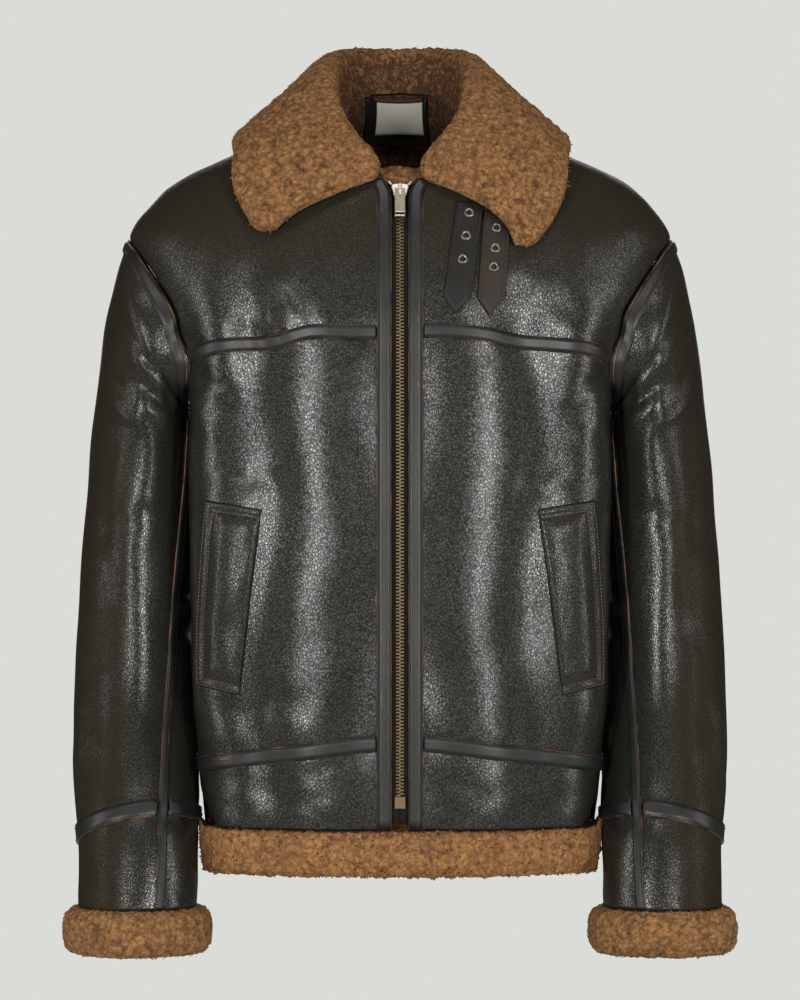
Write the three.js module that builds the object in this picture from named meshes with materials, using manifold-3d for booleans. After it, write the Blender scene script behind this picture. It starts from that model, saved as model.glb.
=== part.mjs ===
// A shearling flying jacket, filled out as if worn, with an open neck, hem and cuffs.
// Millimetres. +Z is up, the wearer faces -Y, and the wearer's left is +X.
// The origin is the middle of the neck, level with the top of the shoulder seams.
import * as THREE from "three";
import { mergeVertices } from "three/addons/utils/BufferGeometryUtils.js";
import Module from "manifold-3d";

// Driving sizes
const SKIN = 4; // shearling: leather with its wool pressed flat
const SEAM_GAP = 0.4; // between pieces that are sewn edge to edge
const LIFT = 0.85; // between a piece and the one it lies on
const STRIP = 1.8; // thickness of the leather strips that cover the seams
const STRIP_WIDTH = 13.5;
const WAIST_STRIP_WIDTH = 15;
const CUFF_STRIP_WIDTH = 15.5;
const FRONT_EDGE = 8.5; // from the middle to the edge of each front
const FLARE = { from: -87, to: -56, out: 20 }; // the front edges part above the zip's slider
const ZIP_STRIP = { inner: 7.6, outer: 21.4, top: -68 };
const BAND_BOTTOM = -664; // where the leather ends and the fur hem starts
const HEM_BOTTOM = -705;
const SHOULDER_TIP = -117; // height of the top of the armhole
const UNDERARM = -263;
const SLEEVE_START = 2.4; // down the sleeve from the shoulder tip, clear of the body's wall
const CUFF_END = 646;
const VENT = { front: 74, back: 96, top: -610 }; // angles at which the bands end at the hem
const GUSSET = { from: 64, to: 116, top: -612, inside: 5.3, thick: 1.5 };

const LEATHER = { color: 0x2b2a27, roughness: 0.42, metalness: 0 };
const STRIP_LEATHER = { color: 0x26262a, roughness: 0.38, metalness: 0 };
const FUR = { color: 0x8d6845, roughness: 1, metalness: 0 };
const METAL = { color: 0x8a8072, roughness: 0.35, metalness: 1 };
const TAPE = { color: 0x1a1918, roughness: 0.9, metalness: 0 };
const LABEL = { color: 0xe6e4da, roughness: 0.7, metalness: 0 };

const rad = THREE.MathUtils.degToRad;
const clamp = THREE.MathUtils.clamp;
const lerp = THREE.MathUtils.lerp;
const smoothstep = THREE.MathUtils.smoothstep;

// A row of a table at a place between its rows, each column on a smooth curve.
function rowAt(rows, key, at) {
  const last = rows.length - 1;
  let i = rows.findIndex((row) => row[key] >= at);
  i = i < 0 ? last : Math.max(i, 1);
  const [before, a, b, after] = [i - 2, i - 1, i, i + 1].map((k) => rows[clamp(k, 0, last)]);
  const span = b[key] - a[key];
  const t = clamp((at - a[key]) / span, 0, 1);
  const found = {};
  for (const column of Object.keys(a)) {
    const leave = ((b[column] - before[column]) / (b[key] - before[key])) * span;
    const arrive = ((after[column] - a[column]) / (after[key] - a[key])) * span;
    const t2 = t * t;
    const t3 = t2 * t;
    found[column] =
      (2 * t3 - 3 * t2 + 1) * a[column] +
      (t3 - 2 * t2 + t) * leave +
      (3 * t2 - 2 * t3) * b[column] +
      (t3 - t2) * arrive;
  }
  return found;
}

// Body: level sections from the hem to the nape. half is the half width at the side, mid the
// place of the widest line in Y, front and back the depths from there, square the roundness.
const BODY = [
  { z: -705, half: 181, mid: -30, front: 96, back: 146, square: 2.5 },
  { z: -660, half: 184.5, mid: -30, front: 98, back: 148, square: 2.5 },
  { z: -606, half: 187.5, mid: -30, front: 101, back: 150, square: 2.5 },
  { z: -540, half: 191.5, mid: -30, front: 104, back: 150, square: 2.5 },
  { z: -450, half: 195, mid: -30, front: 107, back: 151, square: 2.5 },
  { z: -350, half: 196, mid: -30, front: 109, back: 156, square: 2.5 },
  { z: -263, half: 196.5, mid: -24, front: 113, back: 158, square: 2.45 },
  { z: -232, half: 206, mid: -20, front: 115, back: 157, square: 2.4 },
  { z: -200, half: 222, mid: -14, front: 119, back: 151, square: 2.35 },
  { z: -160, half: 242, mid: -6, front: 121, back: 142, square: 2.25 },
  { z: -117, half: 255, mid: 0, front: 117, back: 131, square: 2.15 },
  { z: -89, half: 238, mid: 0, front: 109, back: 122, square: 2.1 },
  { z: -61, half: 206, mid: 0, front: 98, back: 111, square: 2.05 },
  { z: -32, half: 141, mid: 0, front: 84, back: 98, square: 2 },
  { z: -14, half: 98, mid: 0, front: 74, back: 90, square: 2 },
  { z: 0, half: 64, mid: 0, front: 66, back: 83, square: 2 },
  { z: 30, half: 56, mid: 0, front: 60, back: 69, square: 2 },
];

// A point of the body's outer face. turn is the angle round it, 0 at the front middle,
// 90 at the side and 180 at the back, and x comes out positive.
function bodyBase(turn, z) {
  const section = rowAt(BODY, "z", z);
  const across = Math.sin(rad(turn));
  const ahead = Math.cos(rad(turn));
  const depth = ahead > 0 ? section.front : section.back;
  const n = section.square;
  const reach = ((Math.abs(across) / section.half) ** n + (Math.abs(ahead) / depth) ** n) ** (-1 / n);
  return new THREE.Vector3(reach * across, section.mid - reach * ahead, z);
}

function normalOf(place, a, b, stepA, stepB) {
  const alongA = place(a + stepA, b).sub(place(a - stepA, b));
  const alongB = place(a, b + stepB).sub(place(a, b - stepB));
  return alongA.cross(alongB).normalize();
}

// The same on either side, moved out by so much.
function bodyPoint(side, turn, z, out = 0) {
  const base = bodyBase(turn, z);
  const normal = normalOf(bodyBase, turn, z, 0.5, 0.5);
  base.addScaledVector(normal, out);
  base.x *= side;
  return base;
}

// The angle at which the body's front, or its back, is x from the middle.
function turnAt(x, z, back = false) {
  const section = rowAt(BODY, "z", z);
  const n = section.square;
  const share = clamp(x / section.half, 0, 1);
  const y = (back ? section.back : section.front) * (1 - share ** n) ** (1 / n);
  const turn = THREE.MathUtils.radToDeg(Math.atan2(x, y));
  return back ? 180 - turn : turn;
}

const frontPoint = (side, x, z, out) => bodyPoint(side, turnAt(x, z), z, out);

// Neckline: height at each angle round the neck.
const NECK = [
  { turn: 0, z: -74 },
  { turn: 11, z: -68 },
  { turn: 20, z: -56 },
  { turn: 33, z: -34 },
  { turn: 50, z: -15 },
  { turn: 70, z: -4 },
  { turn: 90, z: 0 },
  { turn: 120, z: 12 },
  { turn: 150, z: 24 },
  { turn: 180, z: 28 },
];
const neckHeight = (turn) => rowAt(NECK, "turn", turn).z;

// Armhole: distance of its edge from the middle at each height, the same in front and behind.
const ARMHOLE = [
  { z: -263, x: 196.5 },
  { z: -248, x: 193 },
  { z: -232, x: 193 },
  { z: -220, x: 198 },
  { z: -208, x: 203.5 },
  { z: -190, x: 207 },
  { z: -170, x: 218 },
  { z: -148, x: 232.5 },
  { z: -130, x: 245 },
  { z: -117, x: 255 },
];

function frontEdge(z) {
  const up = clamp((z - FLARE.from) / (FLARE.to - FLARE.from), 0, 1);
  return FRONT_EDGE + FLARE.out * up * up;
}

// How far round the front or back reaches at a height: to the armhole, else to the side.
function sideTurn(z, back) {
  if (z >= SHOULDER_TIP || z <= UNDERARM) return 90;
  return turnAt(rowAt(ARMHOLE, "z", z).x, z, back);
}
const GAP_TURN = SEAM_GAP / 7; // half a seam's gap as an angle at the side

// Seam heights on the fronts, by distance from the middle.
const CHEST_SEAM = {
  [-1]: [
    { x: 0, z: -209 },
    { x: 45, z: -209 },
    { x: 78, z: -208.5 },
    { x: 90, z: -210.5 },
    { x: 102, z: -214 },
    { x: 113, z: -217.3 },
    { x: 126, z: -219.3 },
    { x: 148, z: -219.5 },
    { x: 166, z: -221 },
    { x: 180, z: -224 },
    { x: 192, z: -229 },
  ],
  1: [
    { x: 0, z: -207.5 },
    { x: 45, z: -208 },
    { x: 79, z: -211 },
    { x: 99, z: -215.5 },
    { x: 119, z: -218.5 },
    { x: 142, z: -220 },
    { x: 168, z: -222 },
    { x: 182, z: -225 },
    { x: 192, z: -230 },
  ],
};
const WAIST_SEAM = [
  { x: 0, z: -583 },
  { x: 40, z: -585.5 },
  { x: 84, z: -591.5 },
  { x: 142, z: -598.5 },
  { x: 187, z: -606 },
];
const WAIST_END = 187;
const chestSeam = (side, x) => rowAt(CHEST_SEAM[side], "x", x).z;
const waistSeam = (x) => rowAt(WAIST_SEAM, "x", Math.min(x, WAIST_END)).z;

// A closed wall between an outer and an inner sheet. sheet(u, v, out) gives a point; u runs
// across and v up, each 0 to 1. joined says that u goes all the way round.
function wall(sheet, columns, rows, low, high, joined = false) {
  const around = joined ? columns : columns + 1;
  const positions = [];
  const faces = [];
  for (const out of [high, low])
    for (let j = 0; j <= rows; j++)
      for (let i = 0; i < around; i++) positions.push(...sheet(i / columns, j / rows, out).toArray());
  const layer = around * (rows + 1);
  const at = (i, j, k) => k * layer + j * around + (i % around);
  const quad = (a, b, c, d) => faces.push(a, b, c, a, c, d);
  for (let j = 0; j < rows; j++)
    for (let i = 0; i < columns; i++) {
      quad(at(i, j, 0), at(i + 1, j, 0), at(i + 1, j + 1, 0), at(i, j + 1, 0));
      quad(at(i, j, 1), at(i, j + 1, 1), at(i + 1, j + 1, 1), at(i + 1, j, 1));
    }
  for (let i = 0; i < columns; i++) {
    quad(at(i, 0, 1), at(i + 1, 0, 1), at(i + 1, 0, 0), at(i, 0, 0));
    quad(at(i, rows, 0), at(i + 1, rows, 0), at(i + 1, rows, 1), at(i, rows, 1));
  }
  if (!joined)
    for (let j = 0; j < rows; j++) {
      quad(at(0, j, 0), at(0, j + 1, 0), at(0, j + 1, 1), at(0, j, 1));
      quad(at(columns, j, 1), at(columns, j + 1, 1), at(columns, j + 1, 0), at(columns, j, 0));
    }
  return facingOut(positions, faces);
}

// A roll of fur bent into a ring: ring(u, v) gives a point, and both u and v go all the way round.
function roll(ring, columns, rows) {
  const positions = [];
  const faces = [];
  for (let j = 0; j < rows; j++)
    for (let i = 0; i < columns; i++) positions.push(...ring(i / columns, j / rows).toArray());
  const at = (i, j) => (j % rows) * columns + (i % columns);
  for (let j = 0; j < rows; j++)
    for (let i = 0; i < columns; i++)
      faces.push(at(i, j), at(i + 1, j), at(i + 1, j + 1), at(i, j), at(i + 1, j + 1), at(i, j + 1));
  return facingOut(positions, faces);
}

// A geometry of those points and faces, turned over if it came out inside out.
function facingOut(positions, faces) {
  const [a, b, c] = [0, 1, 2].map(() => new THREE.Vector3());
  let volume = 0;
  for (let i = 0; i < faces.length; i += 3) {
    [a, b, c].forEach((corner, k) => corner.fromArray(positions, 3 * faces[i + k]));
    volume += a.dot(b.cross(c));
  }
  const geometry = new THREE.BufferGeometry();
  geometry.setAttribute("position", new THREE.Float32BufferAttribute(positions, 3));
  geometry.setIndex(volume < 0 ? faces.reverse() : faces);
  return geometry;
}

const jacket = new THREE.Group();
jacket.name = "shearling_jacket";

function add(name, geometry, look) {
  const mesh = new THREE.Mesh(geometry, new THREE.MeshStandardMaterial(look));
  mesh.name = name;
  jacket.add(mesh);
  return mesh;
}

const SIDES = [
  { side: -1, label: "right" },
  { side: 1, label: "left" },
];

// Fronts: a yoke above the chest seam, a main panel, and a band below the waist seam.
// The height of a seam at each column from the zip to the side, where seam runs with x.
function seamHeight(u, seam, edge) {
  let z = seam(WAIST_END * u); // a first guess, then drawn in to where the column meets the seam
  for (let i = 0; i < 6; i++) z = seam(bodyBase(frontTurn(u, z, edge), z).x);
  return z;
}
const frontTurn = (u, z, edge) => lerp(turnAt(frontEdge(z), z), edge(z) - GAP_TURN, u);

// Heights of the rows of points at the side, up the armhole and the shoulder seam.
const SHOULDER_ROWS = [-117, -103, -89, -75, -61, -47, -32, -18, -8, 0];
const YOKE_ROWS = [-229, -210, -187, -163, -140, ...SHOULDER_ROWS];
const PANEL_ROWS = [-606, -520, -435, -350, -300, -272, -254, -240, -229];
const BAND_ROWS = [-660, -633, -606];
const BACK_ROWS = [-606, -520, -435, -350, -300, -263, -240, -215, -190, -165, -140, ...SHOULDER_ROWS];
const COLUMNS = { front: 11, back: 20 };
const NECK_START = 11; // angle of the front end of the neck seam
function rowShare(rows, v) {
  const z = rows[Math.round(v * (rows.length - 1))];
  return (z - rows[0]) / (rows[rows.length - 1] - rows[0]);
}

function frontSheet(side, bottom, top, edge, rows) {
  return (u, v, out) => {
    const z = lerp(bottom(u), top(u), rowShare(rows, v));
    return bodyPoint(side, frontTurn(u, z, edge), z, out);
  };
}

for (const { side, label } of SIDES) {
  const half = SEAM_GAP / 2;
  const front = (name, sheet, rows) =>
    add(`${name}_${label}`, wall(sheet, COLUMNS.front, rows.length - 1, -SKIN, 0), LEATHER);
  const chest = (u) => seamHeight(u, (x) => chestSeam(side, x), sideTurn);
  const waist = (u) => seamHeight(u, waistSeam, sideTurn);
  const neckTop = (u) => neckHeight(lerp(NECK_START, 90, u)) - half;
  front("front_yoke", frontSheet(side, (u) => chest(u) + half, neckTop, sideTurn, YOKE_ROWS), YOKE_ROWS);
  const panel = frontSheet(side, (u) => waist(u) + half, (u) => chest(u) - half, sideTurn, PANEL_ROWS);
  front("front_panel", panel, PANEL_ROWS);
  // The band's side edge slants in to a short vent.
  const vent = (z) => lerp(VENT.front, 90, smoothstep(z, BAND_BOTTOM, VENT.top));
  const band = frontSheet(side, () => BAND_BOTTOM + half, (u) => waist(u) - half, vent, BAND_ROWS);
  front("front_band", band, BAND_ROWS);
  // A dark wedge of leather that shows inside the vent.
  const gusset = (u, v, out) =>
    bodyPoint(side, lerp(GUSSET.from, GUSSET.to, u), lerp(BAND_BOTTOM + 1, GUSSET.top, v), out);
  const gussetOut = -SKIN - GUSSET.inside;
  add(`side_gusset_${label}`, wall(gusset, 5, 2, gussetOut - GUSSET.thick, gussetOut), LEATHER);
}

// Back: one panel from side to side up to the shoulders and nape, and its band.
function backSheet(bottom, top, edge, rows) {
  return (u, v, out) => {
    const side = u < 0.5 ? -1 : 1;
    const share = Math.abs(2 * u - 1); // 0 at the middle of the back, 1 at the side
    const z = lerp(bottom, top(share), rowShare(rows, v));
    return bodyPoint(side, lerp(180, edge(z) + GAP_TURN, share), z, out);
  };
}
const waistSide = waistSeam(WAIST_END);
const napeTop = (share) => neckHeight(lerp(180, 90, share)) - SEAM_GAP / 2;
const backPanel = backSheet(waistSide + SEAM_GAP / 2, napeTop, (z) => sideTurn(z, true), BACK_ROWS);
add("back_panel", wall(backPanel, COLUMNS.back, BACK_ROWS.length - 1, -SKIN, 0), LEATHER);
const backVent = (z) => lerp(VENT.back, 91, smoothstep(z, BAND_BOTTOM, VENT.top));
const bandTop = () => waistSide - SEAM_GAP / 2;
const backBand = backSheet(BAND_BOTTOM + SEAM_GAP / 2, bandTop, backVent, BAND_ROWS);
add("back_band", wall(backBand, COLUMNS.back, BAND_ROWS.length - 1, -SKIN, 0), LEATHER);

// Sleeve: rings from the armhole to the cuff. Each lies in the plane of its outer and inner
// points and Y; the first follows the armhole's own edge.
const SLEEVE = [
  { down: 0, outerX: 255, outerZ: -117, innerX: 196.5, innerZ: -263, mid: 0, depth: 78 },
  { down: 30, outerX: 265, outerZ: -145, innerX: 200.5, innerZ: -275, mid: 3, depth: 77 },
  { down: 60, outerX: 272, outerZ: -174, innerX: 199.5, innerZ: -288, mid: 7, depth: 76 },
  { down: 90, outerX: 277.8, outerZ: -202, innerX: 197.6, innerZ: -302, mid: 11, depth: 75 },
  { down: 150, outerX: 286, outerZ: -258, innerX: 195.2, innerZ: -330, mid: 18, depth: 73.5 },
  { down: 210, outerX: 291.8, outerZ: -312, innerX: 194, innerZ: -361, mid: 22, depth: 72 },
  { down: 270, outerX: 296.8, outerZ: -367, innerX: 193.8, innerZ: -395, mid: 24, depth: 71 },
  { down: 330, outerX: 301.2, outerZ: -424, innerX: 193.6, innerZ: -434, mid: 24, depth: 70 },
  { down: 395, outerX: 305, outerZ: -488, innerX: 193.4, innerZ: -488, mid: 21, depth: 68.5 },
  { down: 460, outerX: 307, outerZ: -553, innerX: 192.6, innerZ: -553, mid: 8, depth: 66.5 },
  { down: 515, outerX: 306, outerZ: -608, innerX: 190.8, innerZ: -608, mid: -16, depth: 64 },
  { down: 552, outerX: 302.5, outerZ: -645, innerX: 189.6, innerZ: -645, mid: -36, depth: 61.5 },
  { down: 585, outerX: 298, outerZ: -678, innerX: 188.6, innerZ: -678, mid: -52, depth: 59 },
  { down: 615, outerX: 297, outerZ: -706, innerX: 187.4, innerZ: -706, mid: -62, depth: 57.5 },
  { down: 646, outerX: 297.8, outerZ: -736, innerX: 187, innerZ: -736, mid: -70, depth: 56.5 },
];
const SLEEVE_SQUARE = 2.1;

const MM_PER_DEGREE = 1.15; // round the sleeve

// The armhole's edge: turn 0 at the shoulder tip, 90 in front, 180 at the underarm, 270 behind.
function armholePoint(turn) {
  const z = (SHOULDER_TIP + UNDERARM) / 2 + ((SHOULDER_TIP - UNDERARM) / 2) * Math.cos(rad(turn));
  const inside = clamp(z, UNDERARM + 0.01, SHOULDER_TIP - 0.01);
  return bodyBase(sideTurn(inside, turn > 180), z);
}

const RINGS = SLEEVE.map((row) => ({
  down: row.down,
  point(turn) {
    if (row.down === 0) return armholePoint(((turn % 360) + 360) % 360);
    const power = 2 / SLEEVE_SQUARE;
    const c = Math.cos(rad(turn));
    const s = Math.sin(rad(turn));
    const out = Math.sign(c) * Math.abs(c) ** power;
    const ahead = Math.sign(s) * Math.abs(s) ** power;
    return new THREE.Vector3(
      lerp(row.innerX, row.outerX, (1 + out) / 2),
      row.mid - ahead * row.depth,
      lerp(row.innerZ, row.outerZ, (1 + out) / 2),
    );
  },
}));

function sleeveBase(turn, down) {
  const rows = RINGS.map((ring) => ({ down: ring.down, ring }));
  let i = rows.findIndex((row) => row.down >= down);
  i = i < 0 ? rows.length - 1 : Math.max(i, 1);
  const near = rows.slice(Math.max(i - 2, 0), i + 2).map(({ down: d, ring }) => {
    const p = ring.point(turn);
    return { down: d, x: p.x, y: p.y, z: p.z };
  });
  const { x, y, z } = rowAt(near, "down", down);
  return new THREE.Vector3(x, y, z);
}

function sleevePoint(side, turn, down, out = 0) {
  const base = sleeveBase(turn, down);
  base.addScaledVector(normalOf(sleeveBase, turn, Math.max(down, 1), 1, 1), out);
  base.x *= side;
  return base;
}

// The seam that runs down the sleeve's front, and the one behind it.
const SLEEVE_SEAM = [
  { down: 0, turn: 176 },
  { down: 60, turn: 168 },
  { down: 150, turn: 154 },
  { down: 270, turn: 141 },
  { down: 395, turn: 131 },
  { down: 515, turn: 122 },
  { down: 646, turn: 113 },
];
const seamTurn = (down) => rowAt(SLEEVE_SEAM, "down", down).turn;
const BACK_SEAM_TURN = 262;
// The cuff seam is arched: highest at the front seam, lower towards the outside.
const CUFF_SEAM = { middle: 571, arch: 20, front: seamTurn(560) };
const cuffSeam = (turn) => CUFF_SEAM.middle - CUFF_SEAM.arch * Math.cos(rad(turn - CUFF_SEAM.front));
const SLEEVE_GAP_TURN = 0.45; // half a seam's gap as an angle of the sleeve
const CLOSER_ABOVE = 1.15; // rows of points lie closer together at the sleeve's top

for (const { side, label } of SIDES) {
  const sleeveSheet = (from, to) => (u, v, out) => {
    const reach = cuffSeam(lerp(from(560), to(560), u)) - SEAM_GAP / 2;
    const down = lerp(SLEEVE_START, reach, v ** CLOSER_ABOVE);
    const turn = lerp(from(down) + SLEEVE_GAP_TURN, to(down) - SLEEVE_GAP_TURN, u);
    return sleevePoint(side, turn, down, out);
  };
  const under = sleeveSheet(seamTurn, () => BACK_SEAM_TURN);
  const upper = sleeveSheet(() => BACK_SEAM_TURN - 360, seamTurn);
  add(`sleeve_under_${label}`, wall(under, 8, 15, -SKIN, 0), LEATHER);
  add(`sleeve_upper_${label}`, wall(upper, 16, 15, -SKIN, 0), LEATHER);
  const cuff = (u, v, out) => {
    const turn = 360 * u;
    return sleevePoint(side, turn, lerp(cuffSeam(turn) + SEAM_GAP / 2, CUFF_END, v), out);
  };
  add(`cuff_${label}`, wall(cuff, 22, 3, -SKIN, 0, true), LEATHER);
}

// Strips sewn over the seams. A strip's sheet takes u along it and v across it.
function strip(name, sheet, steps, across = 2, joined = false) {
  add(name, wall(sheet, steps, across, LIFT, LIFT + STRIP, joined), STRIP_LEATHER);
}

// The armhole strip lies close to the armhole, but sits lower at the underarm.
const ARMHOLE_STRIP = { top: 1.8, bottom: STRIP_WIDTH, lowTop: 18, lowBottom: 42, lowLift: 0.9, onlyLow: 7 };
const SLEEVE_STRIP = { half: 5.6, from: 45, beside: 1.5 };
for (const { side, label } of SIDES) {
  const { inner, outer } = ZIP_STRIP;
  // Beside the zip, from the neck to the fur hem. It bends out round the zip's top.
  const zipStrip = (u, v, out) => {
    const z = lerp(BAND_BOTTOM + 1, ZIP_STRIP.top, u ** 0.8);
    const open = frontEdge(z) - FRONT_EDGE;
    return frontPoint(side, lerp(inner, outer, v) + open, z, out);
  };
  strip(`zip_strip_${label}`, zipStrip, 22, 1);

  const fromZip = outer + 1;
  const chestEnd = sideTurn(-229) - 1;
  const chestStrip = (u, v, out) => {
    const turn = lerp(turnAt(fromZip, -209), chestEnd, u);
    const x = bodyBase(turn, -215).x;
    return bodyPoint(side, turn, chestSeam(side, x) + (v - 0.5) * STRIP_WIDTH, out);
  };
  strip(`chest_strip_${label}`, chestStrip, 14, 1);

  // Round the sleeve beside the armhole.
  const armholeStrip = (u, v, out) => {
    const low = ((1 - Math.cos(2 * Math.PI * u)) / 2) ** ARMHOLE_STRIP.onlyLow; // 1 at the underarm
    const top = lerp(ARMHOLE_STRIP.top, ARMHOLE_STRIP.lowTop, low);
    const bottom = lerp(ARMHOLE_STRIP.bottom, ARMHOLE_STRIP.lowBottom, low);
    return sleevePoint(side, 360 * u, lerp(top, bottom, v), out + ARMHOLE_STRIP.lowLift * Math.sqrt(low));
  };
  strip(`armhole_strip_${label}`, armholeStrip, 44, 1, true);

  // Down the sleeve's front seam, and round its cuff seam on both sides of it.
  const halfTurn = SLEEVE_STRIP.half / MM_PER_DEGREE;
  const seamStrip = (u, v, out) => {
    const down = lerp(SLEEVE_STRIP.from, CUFF_END - 1, u);
    return sleevePoint(side, seamTurn(down) + (v - 0.5) * 2 * halfTurn, down, out);
  };
  strip(`sleeve_strip_${label}`, seamStrip, 34, 1);
  const start = CUFF_SEAM.front + halfTurn + SLEEVE_STRIP.beside;
  const end = CUFF_SEAM.front + 360 - halfTurn - SLEEVE_STRIP.beside;
  const cuffStrip = (u, v, out) => {
    const turn = lerp(start, end, u);
    return sleevePoint(side, turn, cuffSeam(turn) + (0.5 - v) * CUFF_STRIP_WIDTH, out);
  };
  strip(`cuff_strip_${label}`, cuffStrip, 30, 1);
}

// Round the waist seam: two in front, and one across the back from side to side.
const waistFront = (side) => (u, v, out) => {
  const turn = lerp(turnAt(ZIP_STRIP.outer + 1, waistSeam(0)), 89.6, u);
  const x = bodyBase(turn, waistSeam(100)).x;
  return bodyPoint(side, turn, waistSeam(x) + (v - 0.5) * WAIST_STRIP_WIDTH, out);
};
SIDES.forEach(({ side, label }) => strip(`waist_strip_${label}`, waistFront(side), 14, 1));
const waistBack = (u, v, out) => {
  const side = u < 0.5 ? -1 : 1;
  const turn = lerp(180, 90.4, Math.abs(2 * u - 1));
  return bodyPoint(side, turn, waistSide + (v - 0.5) * WAIST_STRIP_WIDTH, out);
};
strip("waist_strip_back", waistBack, 28, 1);

// Fur hem: a soft roll all round, which stands a little higher in the side vents.
const HEM_FUR = { reach: 8.6, sideReach: 0.4, inward: 9, ventLift: 16, ventSpread: 11, rounding: 0.75 };
const softly = (share, power) => Math.sign(share) * Math.abs(share) ** power;
function hemRing(u, v) {
  const side = u < 0.5 ? -1 : 1;
  const turn = Math.abs(360 * u - 180);
  const level = Math.cos(2 * Math.PI * v);
  const out = Math.sin(2 * Math.PI * v);
  const vent = Math.exp(-(((turn - 90) / HEM_FUR.ventSpread) ** 2)); // 1 in the side vent
  const top = BAND_BOTTOM - LIFT + HEM_FUR.ventLift * vent * smoothstep(out, 0, 0.7); // outside only
  const middle = (top + HEM_BOTTOM) / 2;
  const z = middle + softly(level, HEM_FUR.rounding) * (top - middle);
  const thick = out > 0 ? lerp(HEM_FUR.reach, HEM_FUR.sideReach, vent) : HEM_FUR.inward;
  return bodyPoint(side, turn, Math.max(z, HEM_BOTTOM), 1 + softly(out, 0.8) * thick).setZ(z);
}
add("hem_fur", roll(hemRing, 40, 8), FUR);

// Fur cuffs: a thicker roll round each sleeve's end.
const CUFF_FUR = { top: -737, bottom: -779, reach: 13.6, inward: 11 };
for (const { side, label } of SIDES) {
  const ring = (u, v) => {
    const level = Math.cos(2 * Math.PI * v);
    const out = Math.sin(2 * Math.PI * v);
    const middle = (CUFF_FUR.top + CUFF_FUR.bottom) / 2;
    const thick = out > 0 ? CUFF_FUR.reach : CUFF_FUR.inward;
    const point = sleevePoint(side, 360 * u, CUFF_END - 2, softly(out, 0.8) * thick);
    return point.setZ(middle + softly(level, 0.8) * (CUFF_FUR.top - middle));
  };
  add(`cuff_fur_${label}`, roll(ring, 24, 8), FUR);
}

// Collar: sheepskin that stands round the neck, rolls over and lies out on the shoulders.
// A row for each place round the neck, from the front end to the back middle: the top of the
// roll, where the outer edge lies on the body, how far the leaf arches out between them, how
// far its front end bows up, and the tightness of the roll.
const COLLAR = {
  [-1]: [
    { turn: 12, rollX: 25, rollY: -107, rollZ: -70, edgeTurn: 46.3, edgeZ: -117, arch: 4, bow: 5, fold: 2.5 },
    { turn: 22, rollX: 32, rollY: -99, rollZ: -50, edgeTurn: 51, edgeZ: -117, arch: 7, bow: 3, fold: 4 },
    { turn: 34, rollX: 50, rollY: -84, rollZ: -28, edgeTurn: 55, edgeZ: -104, arch: 9, bow: 1, fold: 6 },
    { turn: 50, rollX: 64, rollY: -60, rollZ: -3, edgeTurn: 60, edgeZ: -85, arch: 9, bow: 0, fold: 7 },
    { turn: 70, rollX: 69, rollY: -28, rollZ: 24, edgeTurn: 70, edgeZ: -50, arch: 3, bow: 0, fold: 8 },
    { turn: 95, rollX: 67, rollY: 10, rollZ: 44, edgeTurn: 94, edgeZ: -32, arch: 0.5, bow: 0, fold: 9 },
    { turn: 122, rollX: 58, rollY: 48, rollZ: 55, edgeTurn: 120, edgeZ: -34, arch: 1, bow: 0, fold: 9 },
    { turn: 150, rollX: 33, rollY: 74, rollZ: 60, edgeTurn: 149, edgeZ: -40, arch: 4, bow: 0, fold: 9 },
    { turn: 180, rollX: 0, rollY: 82, rollZ: 60, edgeTurn: 180, edgeZ: -44, arch: 5, bow: 0, fold: 9 },
  ],
};
// The wearer's left leaf hangs a little lower and nearer the zip.
COLLAR[1] = COLLAR[-1].map((row) => {
  const near = 1 - smoothstep(row.turn, 20, 90);
  return { ...row, edgeTurn: row.edgeTurn - 3.2 * near, edgeZ: row.edgeZ - 14 * near, bow: row.bow * 2.6 };
});
const COLLAR_FUR = 11;
const COLLAR_CLEAR = 5; // between the leaf's leather and the shoulders

// The collar's leather face: v is 0 at the neck seam and 1 at the outer edge.
function collarBase(side, turn, v) {
  const rollAt = (t) => {
    const { rollX, rollY, rollZ } = rowAt(COLLAR[side], "turn", t);
    return new THREE.Vector3(rollX, rollY, rollZ);
  };
  const row = rowAt(COLLAR[side], "turn", turn);
  const seam = bodyBase(turn, neckHeight(turn));
  seam.z += LIFT + 2.6;
  const roll = rollAt(turn);
  const edge = bodyPoint(1, row.edgeTurn, row.edgeZ, COLLAR_CLEAR);
  const down = edge.clone().sub(roll).normalize();
  const along = rollAt(turn + 2).sub(rollAt(turn - 2)).normalize();
  if (along.lengthSq() < 0.5) along.set(-1, 0, 0);
  const away = down.clone().cross(along).normalize();
  const bend = Math.min(row.fold, roll.distanceTo(seam) * 0.45);
  const toSeam = seam.clone().sub(roll).normalize();
  const inner = roll.clone().addScaledVector(toSeam, bend).addScaledVector(away, -bend * 0.3);
  const outer = roll.clone().addScaledVector(down, bend).addScaledVector(away, bend * 0.3);
  const onLeaf = (share, arched, bowed) => {
    const point = outer.clone().lerp(edge, share).addScaledVector(away, row.arch * arched);
    return point.addScaledVector(along, row.bow * bowed);
  };
  const line = [
    { v: 0, ...seam },
    { v: 0.16, ...inner },
    { v: 0.22, ...roll },
    { v: 0.28, ...outer },
    { v: 0.5, ...onLeaf(0.33, 0.8, 0.6) },
    { v: 0.75, ...onLeaf(0.68, 0.9, 1) },
    { v: 0.9, ...onLeaf(0.88, 0.45, 0.7) },
    { v: 1, ...edge },
  ];
  const { x, y, z } = rowAt(line, "v", v);
  return new THREE.Vector3(x, y, z);
}

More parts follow.
